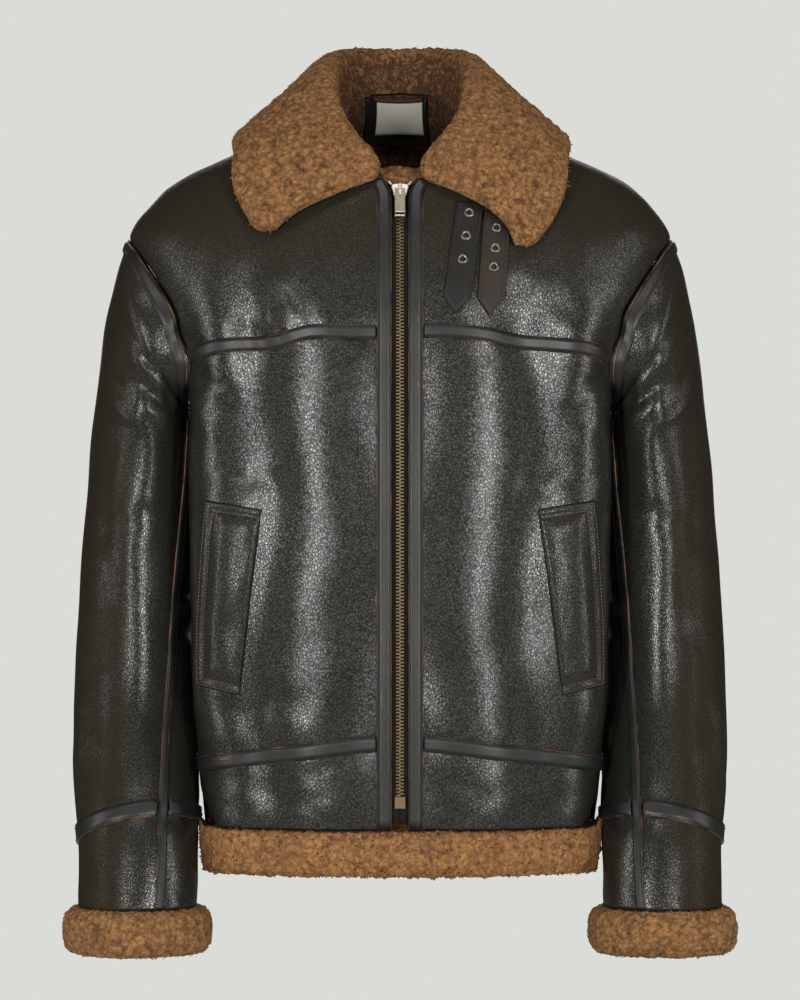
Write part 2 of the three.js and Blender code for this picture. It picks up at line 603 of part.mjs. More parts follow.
function collarSheet(u, v, out) {
  const side = u < 0.5 ? -1 : 1;
  const turn = lerp(180, 12, Math.abs(2 * u - 1));
  const place = (t, w) => collarBase(side, Math.min(t, 180), w);
  const base = place(turn, v);
  const normal = normalOf(place, clamp(turn, 14, 178), clamp(v, 0.03, 0.97), 1.5, 0.02).negate();
  if (turn > 179) normal.setX(0).normalize();
  // The wool thins to a rounded rim at the ends and the outer edge.
  const rim = Math.min(1, ((turn - 12) / 168) * 22 + 0.45, (1 - v) * 9 + 0.45, v * 8 + 0.12);
  base.addScaledVector(normal, out * Math.sqrt(rim));
  base.x *= side;
  return base;
}
add("collar", wall(collarSheet, 28, 10, 0, COLLAR_FUR), FUR);

// Zip: a tape behind each front edge, the closed chain, the slider with its pull tab, and the
// box at the bottom.
const ZIP = { chain: 7.8, chainTop: -84, chainBottom: -632, tapeTop: -70, tapeBottom: -656, tape: 13 };
const middlePoint = (x, z, out) => frontPoint(Math.sign(x) || 1, Math.abs(x), z, out);
for (const { side, label } of SIDES) {
  const tape = (u, v, out) => {
    const z = lerp(ZIP.tapeBottom, ZIP.tapeTop, v ** 0.8);
    const open = frontEdge(z) - FRONT_EDGE;
    return frontPoint(side, lerp(0.3, ZIP.tape, u) + open, z, out);
  };
  add(`zip_tape_${label}`, wall(tape, 1, 18, -SKIN - 1.6, -SKIN - 0.6), TAPE);
}
const chain = (u, v, out) =>
  middlePoint((u - 0.5) * ZIP.chain, lerp(ZIP.chainBottom + 0.5, ZIP.chainTop, v), out);
add("zip_chain", wall(chain, 2, 18, -SKIN - 0.2, -SKIN + 3), METAL);

function plate(points, depth) {
  const shape = new THREE.Shape(points.map(([x, y]) => new THREE.Vector2(x, y)));
  return new THREE.ExtrudeGeometry(shape, { depth, bevelEnabled: false });
}

// A flat piece laid on the front, facing out, its top at the given height.
function onFront(mesh, x, z, out) {
  const at = middlePoint(x, z, out);
  const up = middlePoint(x, z + 4, out).sub(middlePoint(x, z - 4, out)).normalize();
  const across = new THREE.Vector3(1, 0, 0);
  const ahead = across.clone().cross(up).normalize();
  mesh.quaternion.setFromRotationMatrix(new THREE.Matrix4().makeBasis(up.clone().cross(ahead), up, ahead));
  mesh.position.copy(at);
}

const box = [[-5, -11], [5, -11], [5, 0], [-5, 0]];
onFront(add("zip_box", plate(box, 3.4), METAL), 0, ZIP.chainBottom, -SKIN);
const sliderRight = [[3.6, -15], [6.2, -9], [7, -5], [8.4, -1], [7.4, 2.4], [2.4, 3]];
const sliderShape = [...sliderRight, ...sliderRight.map(([x, y]) => [-x, y]).reverse()];
const slider = add("zip_slider", plate(sliderShape, 4.4), METAL);
onFront(slider, 0, -76, -SKIN + 3.4);
// The tab hangs from the slider's bridge, its pivot at the top.
const TAB = { width: 9.6, length: 28, thick: 1.6, pivotZ: -79.4 };
const TAB_SLOT = { half: 2.1, depth: 8.4 }; // open at the top, where it straddles the bridge
const tabRight = [
  [TAB_SLOT.half, -TAB_SLOT.depth],
  [TAB_SLOT.half, 1],
  [TAB.width / 2 - 0.8, 1],
  [TAB.width / 2, -1],
  [TAB.width / 2, -TAB.length],
];
const tabShape = [...tabRight, ...tabRight.map(([x, y]) => [-x, y]).reverse()];
onFront(add("pull_tab", plate(tabShape, TAB.thick), METAL), 0, TAB.pivotZ, -SKIN + 8.4);

// The wool that shows in the V above the slider.
const FACING = { half: 23, bottom: -94, top: -51, rise: 3, inside: 3, thick: 10 };
const facing = (u, v, out) => {
  const x = lerp(-FACING.half, FACING.half, u);
  const rise = FACING.rise * Math.cos((Math.PI * x) / (2 * FACING.half));
  return middlePoint(x, lerp(FACING.bottom, FACING.top + rise, v), out);
};
const facingFace = -SKIN - FACING.inside;
add("neck_facing", wall(facing, 6, 4, facingFace - FACING.thick, facingFace), FUR);

// Pocket welts: corners as distance from the middle and height, the opening edge towards the zip.
const POCKET = {
  outerTop: [173.5, -362], innerTop: [127, -370.5], innerBottom: [148, -541], outerBottom: [181.5, -532],
  bow: 3.5, crown: 2.2,
};
for (const { side, label } of SIDES) {
  const welt = (u, v, out) => {
    const [x, z] = [0, 1].map((k) => {
      const inner = lerp(POCKET.innerBottom[k], POCKET.innerTop[k], v);
      return lerp(inner, lerp(POCKET.outerBottom[k], POCKET.outerTop[k], v), u);
    });
    const bow = POCKET.bow * Math.sin(Math.PI * v) * u; // the outer edge bows out a little
    const swell = Math.sin(Math.PI * Math.min(u * 1.1, 1)) * Math.sin(Math.PI * v) ** 0.3;
    return frontPoint(side, x + bow, z, out + (out > LIFT ? POCKET.crown * swell : 0));
  };
  add(`pocket_welt_${label}`, wall(welt, 4, 8, LIFT, LIFT + 2.6), LEATHER);
}

// Throat straps: two pointed straps under the wearer's left leaf, with three eyelets each.
const STRAP = { width: 25, thick: 2.4, top: -90, shoulder: -177, point: -193 };
const STRAPS = [
  { name: "strap_inner", topX: 64.5, bottomX: 52, drop: 0, eyelets: [-100.5, -121.7, -143.2] },
  { name: "strap_outer", topX: 90, bottomX: 83, drop: -1.5, eyelets: [-114, -132.8, -150] },
];
const EYELET = { rim: 4.8, hole: 2.3, barrel: 2.9, clear: 3.4 };
const wasm = await Module();
wasm.setup();

function solidOf(geometry) {
  const merged = mergeVertices(geometry, 1e-3);
  return new wasm.Manifold(
    new wasm.Mesh({
      numProp: 3,
      vertProperties: merged.attributes.position.array,
      triVerts: new Uint32Array(merged.index.array),
    }),
  );
}
function geometryOf(solid) {
  const { vertProperties, triVerts } = solid.getMesh();
  const geometry = new THREE.BufferGeometry();
  geometry.setAttribute("position", new THREE.BufferAttribute(new Float32Array(vertProperties), 3));
  return geometry.setIndex(new THREE.BufferAttribute(triVerts, 1));
}

for (const strap of STRAPS) {
  const middleX = (z) => lerp(strap.topX, strap.bottomX, (STRAP.top - z) / (STRAP.top - STRAP.shoulder));
  const sheet = (u, v, out) => {
    const side = Math.abs(2 * u - 1);
    const foot = strap.drop + lerp(STRAP.point, STRAP.shoulder, side);
    const z = lerp(foot, STRAP.top + strap.drop * 6, v);
    return frontPoint(1, middleX(z) + (u - 0.5) * STRAP.width, z, out);
  };
  let solid = solidOf(wall(sheet, 4, 8, LIFT, LIFT + STRAP.thick));
  strap.eyelets.forEach((z, i) => {
    const at = frontPoint(1, middleX(z), z, LIFT);
    const ahead = frontPoint(1, middleX(z), z, LIFT + 1).sub(at).normalize();
    const turned = new THREE.Quaternion().setFromUnitVectors(new THREE.Vector3(0, 1, 0), ahead);
    const drill = new THREE.CylinderGeometry(EYELET.clear, EYELET.clear, 12, 12);
    drill.deleteAttribute("normal");
    drill.deleteAttribute("uv");
    solid = solid.subtract(solidOf(drill.applyQuaternion(turned).translate(...at.toArray())));
    // A rim on the strap's face and a barrel through it.
    const { rim, hole, barrel } = EYELET;
    const profile = [
      [hole, 0.2],
      [barrel, 0.2],
      [barrel, STRAP.thick + 0.4],
      [rim, STRAP.thick + 0.4],
      [rim - 0.6, STRAP.thick + 1.3],
      [hole + 0.5, STRAP.thick + 1.3],
      [hole, STRAP.thick + 0.8],
      [hole, 0.2],
    ];
    const ring = new THREE.LatheGeometry(profile.map(([x, y]) => new THREE.Vector2(x, y)), 10);
    const eyelet = add(`${strap.name}_eyelet_${i + 1}`, ring, METAL);
    eyelet.quaternion.copy(turned);
    eyelet.position.copy(at);
  });
  add(strap.name, geometryOf(solid), STRIP_LEATHER);
}

// At the nape, inside: a leather patch with a plain woven label and a hanging loop.
const inNape = (left, right, low, top) => (u, v, out) => {
  const x = lerp(left, right, u);
  const z = lerp(low, top, v);
  return bodyPoint(Math.sign(x) || 1, turnAt(Math.abs(x), z, true), z, -SKIN - out);
};
add("neck_patch", wall(inNape(-36, 29, -19, 23), 6, 3, 2.6, 1.1), STRIP_LEATHER);
add("neck_label", wall(inNape(-26, 25, -8, 20), 6, 3, 3.9, 3.3), LABEL);
add("hanging_loop", wall(inNape(-30, 25, 21.5, 24), 4, 1, 5, 3.3), LEATHER);

export default jacket;
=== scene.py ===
import math

import bmesh
import bpy
import numpy as np
from mathutils import Matrix, Vector


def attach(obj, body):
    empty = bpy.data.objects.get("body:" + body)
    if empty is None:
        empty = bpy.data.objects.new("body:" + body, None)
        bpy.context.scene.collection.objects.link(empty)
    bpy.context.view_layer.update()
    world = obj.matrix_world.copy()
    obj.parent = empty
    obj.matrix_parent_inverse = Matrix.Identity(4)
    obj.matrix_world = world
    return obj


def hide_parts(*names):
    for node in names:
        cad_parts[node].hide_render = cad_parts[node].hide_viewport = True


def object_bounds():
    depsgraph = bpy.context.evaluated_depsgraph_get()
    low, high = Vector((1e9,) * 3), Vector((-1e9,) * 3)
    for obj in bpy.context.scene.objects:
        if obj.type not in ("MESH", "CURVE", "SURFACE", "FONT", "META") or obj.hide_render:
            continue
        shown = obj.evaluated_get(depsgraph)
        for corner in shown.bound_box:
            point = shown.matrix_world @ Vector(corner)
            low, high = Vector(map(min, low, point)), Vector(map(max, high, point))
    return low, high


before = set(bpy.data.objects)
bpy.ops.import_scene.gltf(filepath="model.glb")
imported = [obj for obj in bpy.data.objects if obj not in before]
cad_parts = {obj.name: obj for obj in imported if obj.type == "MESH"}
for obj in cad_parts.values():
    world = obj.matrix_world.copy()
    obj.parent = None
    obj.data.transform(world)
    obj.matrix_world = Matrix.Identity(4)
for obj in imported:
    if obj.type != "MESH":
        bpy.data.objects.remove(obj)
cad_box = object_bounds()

# Camera: straight in front, level with the middle of the picture and far enough away that the
# jacket's near and far parts keep nearly the same scale. It frames 0.94 m at the neck.
CAMERA_DISTANCE = 4.0
FRAME_HEIGHT = 0.94
CAMERA_HEIGHT = -0.3619


def add_object(name, data):
    made = bpy.data.objects.new(name, data)
    bpy.context.scene.collection.objects.link(made)
    return made


camera_data = bpy.data.cameras.new("camera")
camera_data.sensor_width = 36
camera_data.lens = camera_data.sensor_width * CAMERA_DISTANCE / FRAME_HEIGHT
camera = add_object("camera", camera_data)
camera.location = (0, -CAMERA_DISTANCE, CAMERA_HEIGHT)
camera.rotation_euler = (math.pi / 2, 0, 0)
bpy.context.scene.camera = camera

# The body's form: level sections of a filled-out jacket, from the hem to the nape, in
# millimetres like every size of the cloth here. They are the frame's own sections.
MM = 0.001


def columns(names, *rows):
    """A table with named columns."""
    return dict(zip(names.split(), np.array(rows, float).T))


def curve(keys, at, pick):
    """A smooth curve through pick(k), the row of values at keys[k], at places between them."""
    last = len(keys) - 1
    i = np.clip(np.searchsorted(keys, at), 1, last)
    before, a, b, after = (np.clip(i + k, 0, last) for k in (-2, -1, 0, 1))
    p0, p1, p2, p3 = (pick(k) for k in (before, a, b, after))
    span = (keys[b] - keys[a])[..., None]
    t = np.clip((at - keys[a])[..., None] / span, 0, 1)
    leave = (p2 - p0) / (keys[b] - keys[before])[..., None] * span
    arrive = (p3 - p1) / (keys[after] - keys[a])[..., None] * span
    ends = (2 * t**3 - 3 * t**2 + 1) * p1 + (t**3 - 2 * t**2 + t) * leave
    return ends + (3 * t**2 - 2 * t**3) * p2 + (t**3 - t**2) * arrive


def row_at(table, key, at):
    """The table's columns at places between its rows."""
    rows = np.stack(list(table.values()), -1)
    return dict(zip(table, np.moveaxis(curve(table[key], at, lambda k: rows[k]), -1, 0)))


def lerp(a, b, t):
    return a + (b - a) * t


def smoothstep(x, low, high):
    t = np.clip((x - low) / (high - low), 0, 1)
    return t * t * (3 - 2 * t)


BODY = columns(
    "z half mid front back square",
    (-705, 181, -30, 96, 146, 2.5),
    (-660, 184.5, -30, 98, 148, 2.5),
    (-606, 187.5, -30, 101, 150, 2.5),
    (-540, 191.5, -30, 104, 150, 2.5),
    (-450, 195, -30, 107, 151, 2.5),
    (-350, 196, -30, 109, 156, 2.5),
    (-263, 196.5, -24, 113, 158, 2.45),
    (-232, 206, -20, 115, 157, 2.4),
    (-200, 222, -14, 119, 151, 2.35),
    (-160, 242, -6, 121, 142, 2.25),
    (-117, 255, 0, 117, 131, 2.15),
    (-89, 238, 0, 109, 122, 2.1),
    (-61, 206, 0, 98, 111, 2.05),
    (-32, 141, 0, 84, 98, 2),
    (-14, 98, 0, 74, 90, 2),
    (0, 64, 0, 66, 83, 2),
    (30, 56, 0, 60, 69, 2),
)
NECK = columns(
    "turn z",
    (0, -74), (11, -68), (20, -56), (33, -34), (50, -15), (70, -4), (90, 0), (120, 12), (150, 24), (180, 28),
)
ARMHOLE = columns(
    "z x",
    (-263, 196.5), (-248, 193), (-232, 193), (-220, 198), (-208, 203.5), (-190, 207), (-170, 218),
    (-148, 232.5), (-130, 245), (-117, 255),
)
CHEST_SEAM = {
    -1: columns(
        "x z",
        (0, -209), (45, -209), (78, -208.5), (90, -210.5), (102, -214), (113, -217.3), (126, -219.3),
        (148, -219.5), (166, -221), (180, -224), (192, -229),
    ),
    1: columns(
        "x z",
        (0, -207.5), (45, -208), (79, -211), (99, -215.5), (119, -218.5), (142, -220), (168, -222),
        (182, -225), (192, -230),
    ),
}
WAIST_SEAM = columns("x z", (0, -583), (40, -585.5), (84, -591.5), (142, -598.5), (187, -606))
SHOULDER_TIP, UNDERARM, BAND_BOTTOM = -117, -263, -664
FRONT_EDGE, SEAM_GAP = 8.5, 0.4

# Folds and slack places in the cloth, each from one point to another: how wide, and how far
# the leather stands out (or in). x and z are as seen from the front or the back.
FRONT_FOLDS = {
    -1: columns(
        "x z x2 z2 width depth",
        (121, -215, 125, -655, 25, -5.0),
        (32, -215, 34, -655, 24, -2.6),
        (175, -236, 174, -545, 26, 6.0),
        (30, -90, 66, -180, 17, 1.2),
        (96, -130, 112, -190, 17, 1.3),
        (128, -120, 138, -195, 13, -1.1),
        (158, -95, 176, -190, 18, 1.6),
        (104, -196, 124, -206, 12, 1.0),
        (186, -238, 158, -268, 7, -1.6),
        (190, -262, 172, -300, 8, 1.5),
        (120, -345, 172, -338, 10, -1.6),
        (100, -545, 170, -560, 15, -1.4),
        (70, -610, 76, -650, 14, -0.8),
        (142, -612, 136, -652, 15, 0.9),
    ),
    1: columns(
        "x z x2 z2 width depth",
        (119, -215, 122, -655, 26, -5.2),
        (32, -215, 33, -655, 24, -2.6),
        (175, -236, 173, -545, 26, 6.0),
        (118, -150, 128, -200, 16, 1.2),
        (150, -110, 168, -195, 18, 1.6),
        (44, -110, 50, -190, 20, 0.9),
        (188, -240, 160, -272, 7, -1.6),
        (190, -264, 170, -304, 8, 1.5),
        (122, -350, 170, -342, 10, -1.5),
        (66, -612, 70, -652, 14, -0.8),
        (138, -612, 134, -652, 15, 0.9),
    ),
}
BACK_FOLDS = columns(
    "x z x2 z2 width depth",
    (58, -170, 78, -560, 24, 3.2),
    (112, -200, 122, -540, 20, -2.8),
    (160, -260, 156, -600, 16, 2.6),
    (20, -470, 150, -498, 16, -2.2),
    (30, -520, 130, -530, 14, 1.8),
    (185, -235, 130, -300, 12, -2.4),
    (190, -262, 150, -330, 10, 2.0),
    (90, -60, 150, -110, 18, 1.8),
)


def fold_height(folds, x, z):
    """How far the folds lift the leather at x and z, strongest in the middle of each."""
    height = np.zeros(np.broadcast(x, z).shape)
    for fx, fz, fx2, fz2, width, depth in zip(*folds.values()):
        length = math.hypot(fx2 - fx, fz2 - fz)
        along = ((x - fx) * (fx2 - fx) + (z - fz) * (fz2 - fz)) / length**2
        wander = 0.35 * width * np.sin(9 * along + fx)
        off = (((x - fx) * (fz2 - fz) - (z - fz) * (fx2 - fx)) / length + wander) / width
        past = np.maximum(np.maximum(-along, along - 1), 0) * length / (1.6 * width)
        height += depth * np.exp(-(off**2) - past**2)
    return height


def body_base(turn, z):
    """A point of the body's outer face: turn is 0 at the front middle and 180 at the back."""
    row = row_at(BODY, "z", z)
    across, ahead = np.sin(np.radians(turn)), np.cos(np.radians(turn))
    depth = np.where(ahead > 0, row["front"], row["back"])
    n = row["square"]
    reach = ((np.abs(across) / row["half"]) ** n + (np.abs(ahead) / depth) ** n) ** (-1 / n)
    return np.stack([reach * across, row["mid"] - reach * ahead, z + 0 * reach], -1)


def signed_power(x, power):
    return np.sign(x) * np.abs(x) ** power


def unit(v):
    return v / np.maximum(np.linalg.norm(v, axis=-1, keepdims=True), 1e-9)


def normal_of(place, a, b, step_a, step_b):
    along_a = place(a + step_a, b) - place(a - step_a, b)
    along_b = place(a, b + step_b) - place(a, b - step_b)
    return unit(np.cross(along_a, along_b))


def on_side(points, side):
    return points * np.stack([side + 0 * points[..., 0], 1 + 0 * points[..., 0], 1 + 0 * points[..., 0]], -1)


def body_point(side, turn, z, out=0.0):
    """The body with its folds, moved out by so much. side is -1 or 1, and may be an array."""
    turn, z, side, out = np.broadcast_arrays(turn * 1.0, z * 1.0, side * 1.0, out * 1.0)
    base = body_base(turn, z)
    x = base[..., 0]
    front = np.where(side < 0, fold_height(FRONT_FOLDS[-1], x, z), fold_height(FRONT_FOLDS[1], x, z))
    calm = smoothstep(np.abs(turn - 90), 0, 16)
    height = np.where(turn < 90, front, fold_height(BACK_FOLDS, x, z)) * calm
    base = base + normal_of(body_base, turn, z, 0.5, 0.5) * (height + out)[..., None]
    return on_side(base, side)


def turn_at(x, z, back=False):
    """The angle at which the front (or back) is x from the middle."""
    row = row_at(BODY, "z", z)
    n = row["square"]
    share = np.clip(x / row["half"], 0, 1)
    y = row["back" if back else "front"] * (1 - share**n) ** (1 / n)
    turn = np.degrees(np.arctan2(x, y))
    return 180 - turn if back else turn


def side_turn(z, back=False):
    """Where the front (or back) ends: at the armhole, else at the side."""
    x = row_at(ARMHOLE, "z", np.clip(z, UNDERARM, SHOULDER_TIP))["x"]
    cut = (z > UNDERARM) & (z < SHOULDER_TIP)
    return np.where(cut, turn_at(x, z, back), 90.0)


def front_edge(z):
    """The fronts part above the zip's slider."""
    return FRONT_EDGE + 20 * np.clip((z + 87) / 31, 0, 1) ** 2


def front_turn(u, z, edge):
    return lerp(turn_at(front_edge(z), z), edge(z) - SEAM_GAP / 7, u)


def seam_height(u, seam, edge):
    """A seam's height at each column from the zip to the side, where the seam runs with x."""
    z = seam(200 * u)
    for _ in range(6):
        z = seam(body_base(front_turn(u, z, edge), z)[..., 0])
    return z


def front_point(side, x, z, out=0.0):
    return body_point(side, turn_at(x * 1.0, z * 1.0), z, out)


# Aged sheepskin, leather side out: a thick dark brown, nearly black finish rubbed dull on the
# shoulders. Pebbled grain breaks its soft shine into small glints.
LEATHER_DARK, LEATHER_WARM, LEATHER_RUBBED = "#1c1c1a", "#262622", "#372f22"
GRAIN_MM, FINE_GRAIN_MM, GRAIN_DEPTH_MM = 2.3, 1.1, 0.046


def linear(colour):
    """Linear RGBA from an sRGB hex value."""
    values = [int(colour[i : i + 2], 16) / 255 for i in (1, 3, 5)]
    return tuple(v / 12.92 if v <= 0.04045 else ((v + 0.055) / 1.055) ** 2.4 for v in values) + (1.0,)


def connect(tree, node, inputs):
    """Sets a node's inputs to values, or links them to sockets. A node stands for its first."""
    for key, value in inputs.items():
        if isinstance(value, bpy.types.Node):
            value = value.outputs[0]
        if isinstance(value, bpy.types.NodeSocket):
            tree.links.new(value, node.inputs[key])
        else:
            node.inputs[key].default_value = value


def add_node(tree, kind, inputs=None, **settings):
    made = tree.nodes.new("ShaderNode" + kind)
    for key, value in settings.items():
        setattr(made, key, value)
    connect(tree, made, inputs or {})
    return made


def new_material(name, inputs=None):
    """A material, its node tree and its Principled shader."""
    made = bpy.data.materials.new(name)
    made.use_nodes = True
    shader = made.node_tree.nodes["Principled BSDF"]
    connect(made.node_tree, shader, inputs or {})
    return made, made.node_tree, shader


def plain(name, colour, roughness):
    return new_material(name, {"Base Color": linear(colour), "Roughness": roughness})[0]


def pebbled_leather(name):
    made, tree, shader = new_material(name, {"IOR": 1.5, "Coat Roughness": 0.22})
    place = add_node(tree, "TexCoord").outputs["Object"]
    sway = add_node(tree, "TexNoise", {"Vector": place, "Scale": 420, "Detail": 1}).outputs["Color"]
    moved = add_node(tree, "VectorMath", {0: sway, 1: (GRAIN_MM * MM,) * 3}, operation="MULTIPLY")
    bent = add_node(tree, "VectorMath", {0: place, 1: moved}, operation="ADD")
    tall = add_node(tree, "Mapping", {"Vector": bent, "Scale": (1, 1, 0.72)})
    height = 0.0
    for grain, share in ((GRAIN_MM, 1.0), (FINE_GRAIN_MM, 0.4)):
        size = {"Vector": tall, "Scale": 1 / (grain * MM)}
        cells = add_node(tree, "TexVoronoi", size, feature="DISTANCE_TO_EDGE")
        rounded = {"interpolation_type": "SMOOTHSTEP"}
        dome = add_node(tree, "MapRange", {"Value": cells, "From Max": 0.35}, **rounded)
        height = add_node(tree, "Math", {0: dome, 1: share, 2: height}, operation="MULTIPLY_ADD")
    relief = add_node(tree, "Bump", {"Height": height, "Strength": 1.0, "Distance": GRAIN_DEPTH_MM * MM})
    patches = add_node(tree, "TexNoise", {"Vector": place, "Scale": 14, "Detail": 4, "Roughness": 0.6})
    rub = add_node(tree, "Attribute", attribute_name="rub")
    rubbed_here = add_node(tree, "Math", {0: patches, 1: rub.outputs["Fac"]}, operation="MULTIPLY")
    dark, warm, rubbed = (linear(colour) for colour in (LEATHER_DARK, LEATHER_WARM, LEATHER_RUBBED))
    base = add_node(tree, "Mix", {0: patches, 6: dark, 7: warm}, data_type="RGBA")
    colour = add_node(tree, "Mix", {0: rubbed_here, 6: base.outputs[2], 7: rubbed}, data_type="RGBA")
    dull = add_node(tree, "MapRange", {"Value": patches, "To Min": 0.27, "To Max": 0.34})
    roughness = add_node(tree, "Math", {0: rubbed_here, 1: 0.5, 2: dull}, operation="MULTIPLY_ADD")
    # Rubbed leather has lost its finish.
    bare = {"From Max": 0.5, "To Min": 1, "To Max": 0.15}
    finish = add_node(tree, "MapRange", {"Value": rubbed_here, **bare})
    # The creases between the cells hold no shine.
    crown = add_node(tree, "MapRange", {"Value": height, "From Max": 1.2, "To Min": 0.04, "To Max": 0.9})
    gloss = add_node(tree, "Math", {0: finish, 1: crown}, operation="MULTIPLY")
    connect(tree, shader, {"Coat Weight": gloss, "Specular IOR Level": gloss})
    connect(tree, shader, {"Base Color": colour.outputs[2], "Roughness": roughness})
    connect(tree, shader, {"Normal": relief, "Coat Normal": relief})
    return made


leather = pebbled_leather("aged sheepskin leather")

# The same hide's other side: clipped wool, pressed flat, that lines the whole jacket.
# LINING_DARK is painted shade for the hollows between curls, LINING_LIGHT painted highlight for their tips.
LINING_DARK, LINING_LIGHT = "#3c2412", "#9a683f"
CURL_MM = 5.0


def curly_wool(name, dark, light, curl_mm, bump):
    made, tree, shader = new_material(name, {"Roughness": 0.9, "Sheen Weight": 0.12, "Sheen Roughness": 0.45})
    shader.inputs["Sheen Tint"].default_value = linear("#a07a50")
    place = add_node(tree, "TexCoord").outputs["Object"]
    sway = add_node(tree, "TexNoise", {"Vector": place, "Scale": 0.6 / (curl_mm * MM), "Detail": 2})
    reach = (curl_mm * MM * 2.2,) * 3
    moved = add_node(tree, "VectorMath", {0: sway.outputs["Color"], 1: reach}, operation="MULTIPLY")
    bent = add_node(tree, "VectorMath", {0: place, 1: moved}, operation="ADD")
    curls = add_node(tree, "TexVoronoi", {"Vector": bent, "Scale": 1 / (curl_mm * MM)})
    twists = add_node(tree, "TexVoronoi", {"Vector": bent, "Scale": 2.6 / (curl_mm * MM)})
    inward = {"To Min": 1, "To Max": 0}
    curl = add_node(tree, "MapRange", {"Value": curls, "From Max": 0.72, **inward})
    twist = add_node(tree, "MapRange", {"Value": twists, "From Max": 0.8, **inward})
    height = add_node(tree, "Math", {0: twist, 1: 0.5, 2: curl}, operation="MULTIPLY_ADD")
    relief = add_node(tree, "Bump", {"Height": height, "Strength": bump, "Distance": 0.0016})
    # Painted shade and highlight: the colour runs from dark in the hollows between curls to light on their
    # tips, following the curl relief and the tip attribute.
    tip = add_node(tree, "Attribute", attribute_name="tip")
    mixed = add_node(tree, "Math", {0: tip.outputs["Fac"], 1: 0.8, 2: height}, operation="MULTIPLY_ADD")
    shade = add_node(tree, "MapRange", {"Value": mixed, "From Min": 0.35, "From Max": 1.9})
    fleece = add_node(tree, "TexNoise", {"Vector": place, "Scale": 45, "Detail": 3})
    uneven = add_node(tree, "MapRange", {"Value": fleece, "To Min": 0.62, "To Max": 1.3})
    toned = add_node(tree, "Math", {0: shade, 1: uneven}, operation="MULTIPLY", use_clamp=True)
    colour = add_node(tree, "Mix", {0: toned, 6: linear(dark), 7: linear(light)}, data_type="RGBA")
    connect(tree, shader, {"Base Color": colour.outputs[2], "Normal": relief})
    return made


lining = curly_wool("clipped lining wool", LINING_DARK, LINING_LIGHT, CURL_MM, 0.8)


def rumple(points, size, seed=0.0):
    """Smooth uneven values from -1 to 1, with swells about size mm across."""
    x, y, z = (points[..., k] / size * 2.4 for k in range(3))
    return (
        np.sin(x + 1.7 * np.sin(0.8 * y + seed) + 0.9 * z + seed)
        + np.sin(1.1 * y - 1.3 * np.sin(0.9 * z + 2 * seed) + 0.6 * x + 2.1)
        + np.sin(1.2 * z + 1.5 * np.sin(0.7 * x + 3 * seed) + 4.2)
    ) / 3


def set_points(mesh, points):
    mesh.vertices.foreach_set("co", (points.reshape(-1, 3) * MM).ravel())
    mesh.update()


def get_points(mesh):
    co = np.empty(len(mesh.vertices) * 3, np.float32)
    mesh.vertices.foreach_get("co", co)
    return co.reshape(-1, 3) / MM


def add_attribute(mesh, name, values):
    values = np.broadcast_to(np.ravel(values), len(mesh.vertices)).astype(np.float32)
    mesh.attributes.new(name, "FLOAT", "POINT").data.foreach_set("value", values)


def show(mesh, *materials):
    for material in materials:
        mesh.materials.append(material)
    return add_object(mesh.name, mesh)


def grid_sheet(name, place, across, up, materials, outward=None, joined=False):
    """A sheet of place(u, v) in millimetres, u across and v up, each from 0 to 1. outward(p)
    points out of it at p, and joined closes it round u."""
    bm = bmesh.new()
    bmesh.ops.create_grid(bm, x_segments=across, y_segments=up, size=0.5, calc_uvs=False)
    mesh = bpy.data.meshes.new(name)
    bm.to_mesh(mesh)
    bm.free()
    flat = np.empty(len(mesh.vertices) * 3, np.float32)
    mesh.vertices.foreach_get("co", flat)
    flat = flat.reshape(-1, 3).astype(float)
    u, v = np.clip(flat[:, 0] + 0.5, 0, 1), np.clip(flat[:, 1] + 0.5, 0, 1)
    points = place(u, v)
    set_points(mesh, points)
    corners = np.empty(len(mesh.loops), np.int32)
    mesh.loops.foreach_get("vertex_index", corners)
    uv = mesh.uv_layers.new(name="cloth")
    uv.data.foreach_set("uv", np.stack([u[corners], v[corners]], -1).ravel().astype(np.float32))
    bm = bmesh.new()
    bm.from_mesh(mesh)
    if joined:
        bmesh.ops.remove_doubles(bm, verts=bm.verts, dist=1e-6)
    if outward is not None:
        some = list(bm.faces)[:: max(1, len(bm.faces) // 200)]
        if sum(f.normal.dot(Vector(outward(f.calc_center_median()))) for f in some) < 0:
            bmesh.ops.reverse_faces(bm, faces=bm.faces)
    for face in bm.faces:
        face.smooth = True
    bm.to_mesh(mesh)
    bm.free()
    return show(mesh, *materials)


def away_from(axis):
    """The direction away from an upright axis through axis (x, y in metres)."""
    return lambda p: (p.x - axis[0], p.y - axis[1], 0.0)


def thicken(made, wall_mm, lined=True):
    wall = made.modifiers.new("wall", "SOLIDIFY")
    wall.thickness = wall_mm * MM
    wall.offset = -1
    wall.use_even_offset = False
    wall.material_offset = 1 if lined else 0


# The least width and length, in metres, that declare_cloth works out for a piece's cut.
NARROWEST_CUT = 0.0101


def declare_cloth(made, node, place):
    """Works out the piece's cut, the longest lines across and up it and its own area, but keeps none of it;
    it hides the part that the piece replaces and hangs the piece on the root.
    """
    steps = np.linspace(0, 1, 60)
    u, v = np.meshgrid(steps, steps, indexing="ij")
    points = place(u.ravel(), v.ravel()).reshape(60, 60, 3) * MM
    width = np.linalg.norm(np.diff(points, axis=0), axis=-1).sum(0).max()
    length = np.linalg.norm(np.diff(points, axis=1), axis=-1).sum(1).max()
    a, b = points[1:, :-1] - points[:-1, :-1], points[:-1, 1:] - points[:-1, :-1]
    area = np.linalg.norm(np.cross(a, b), axis=-1).sum()
    width, length = max(width, NARROWEST_CUT), max(length, NARROWEST_CUT)
    area = float(np.clip(area, 0.301 * width * length, width * length))
    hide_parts(node)
    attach(made, "root")


def from_edge(u, v, width, height):
    """How far inside the edges of a piece of that size."""
    return np.minimum(np.minimum(u, 1 - u) * width, np.minimum(v, 1 - v) * height)


WALL = 4.0
SIDES = ((-1, "right"), (1, "left"))
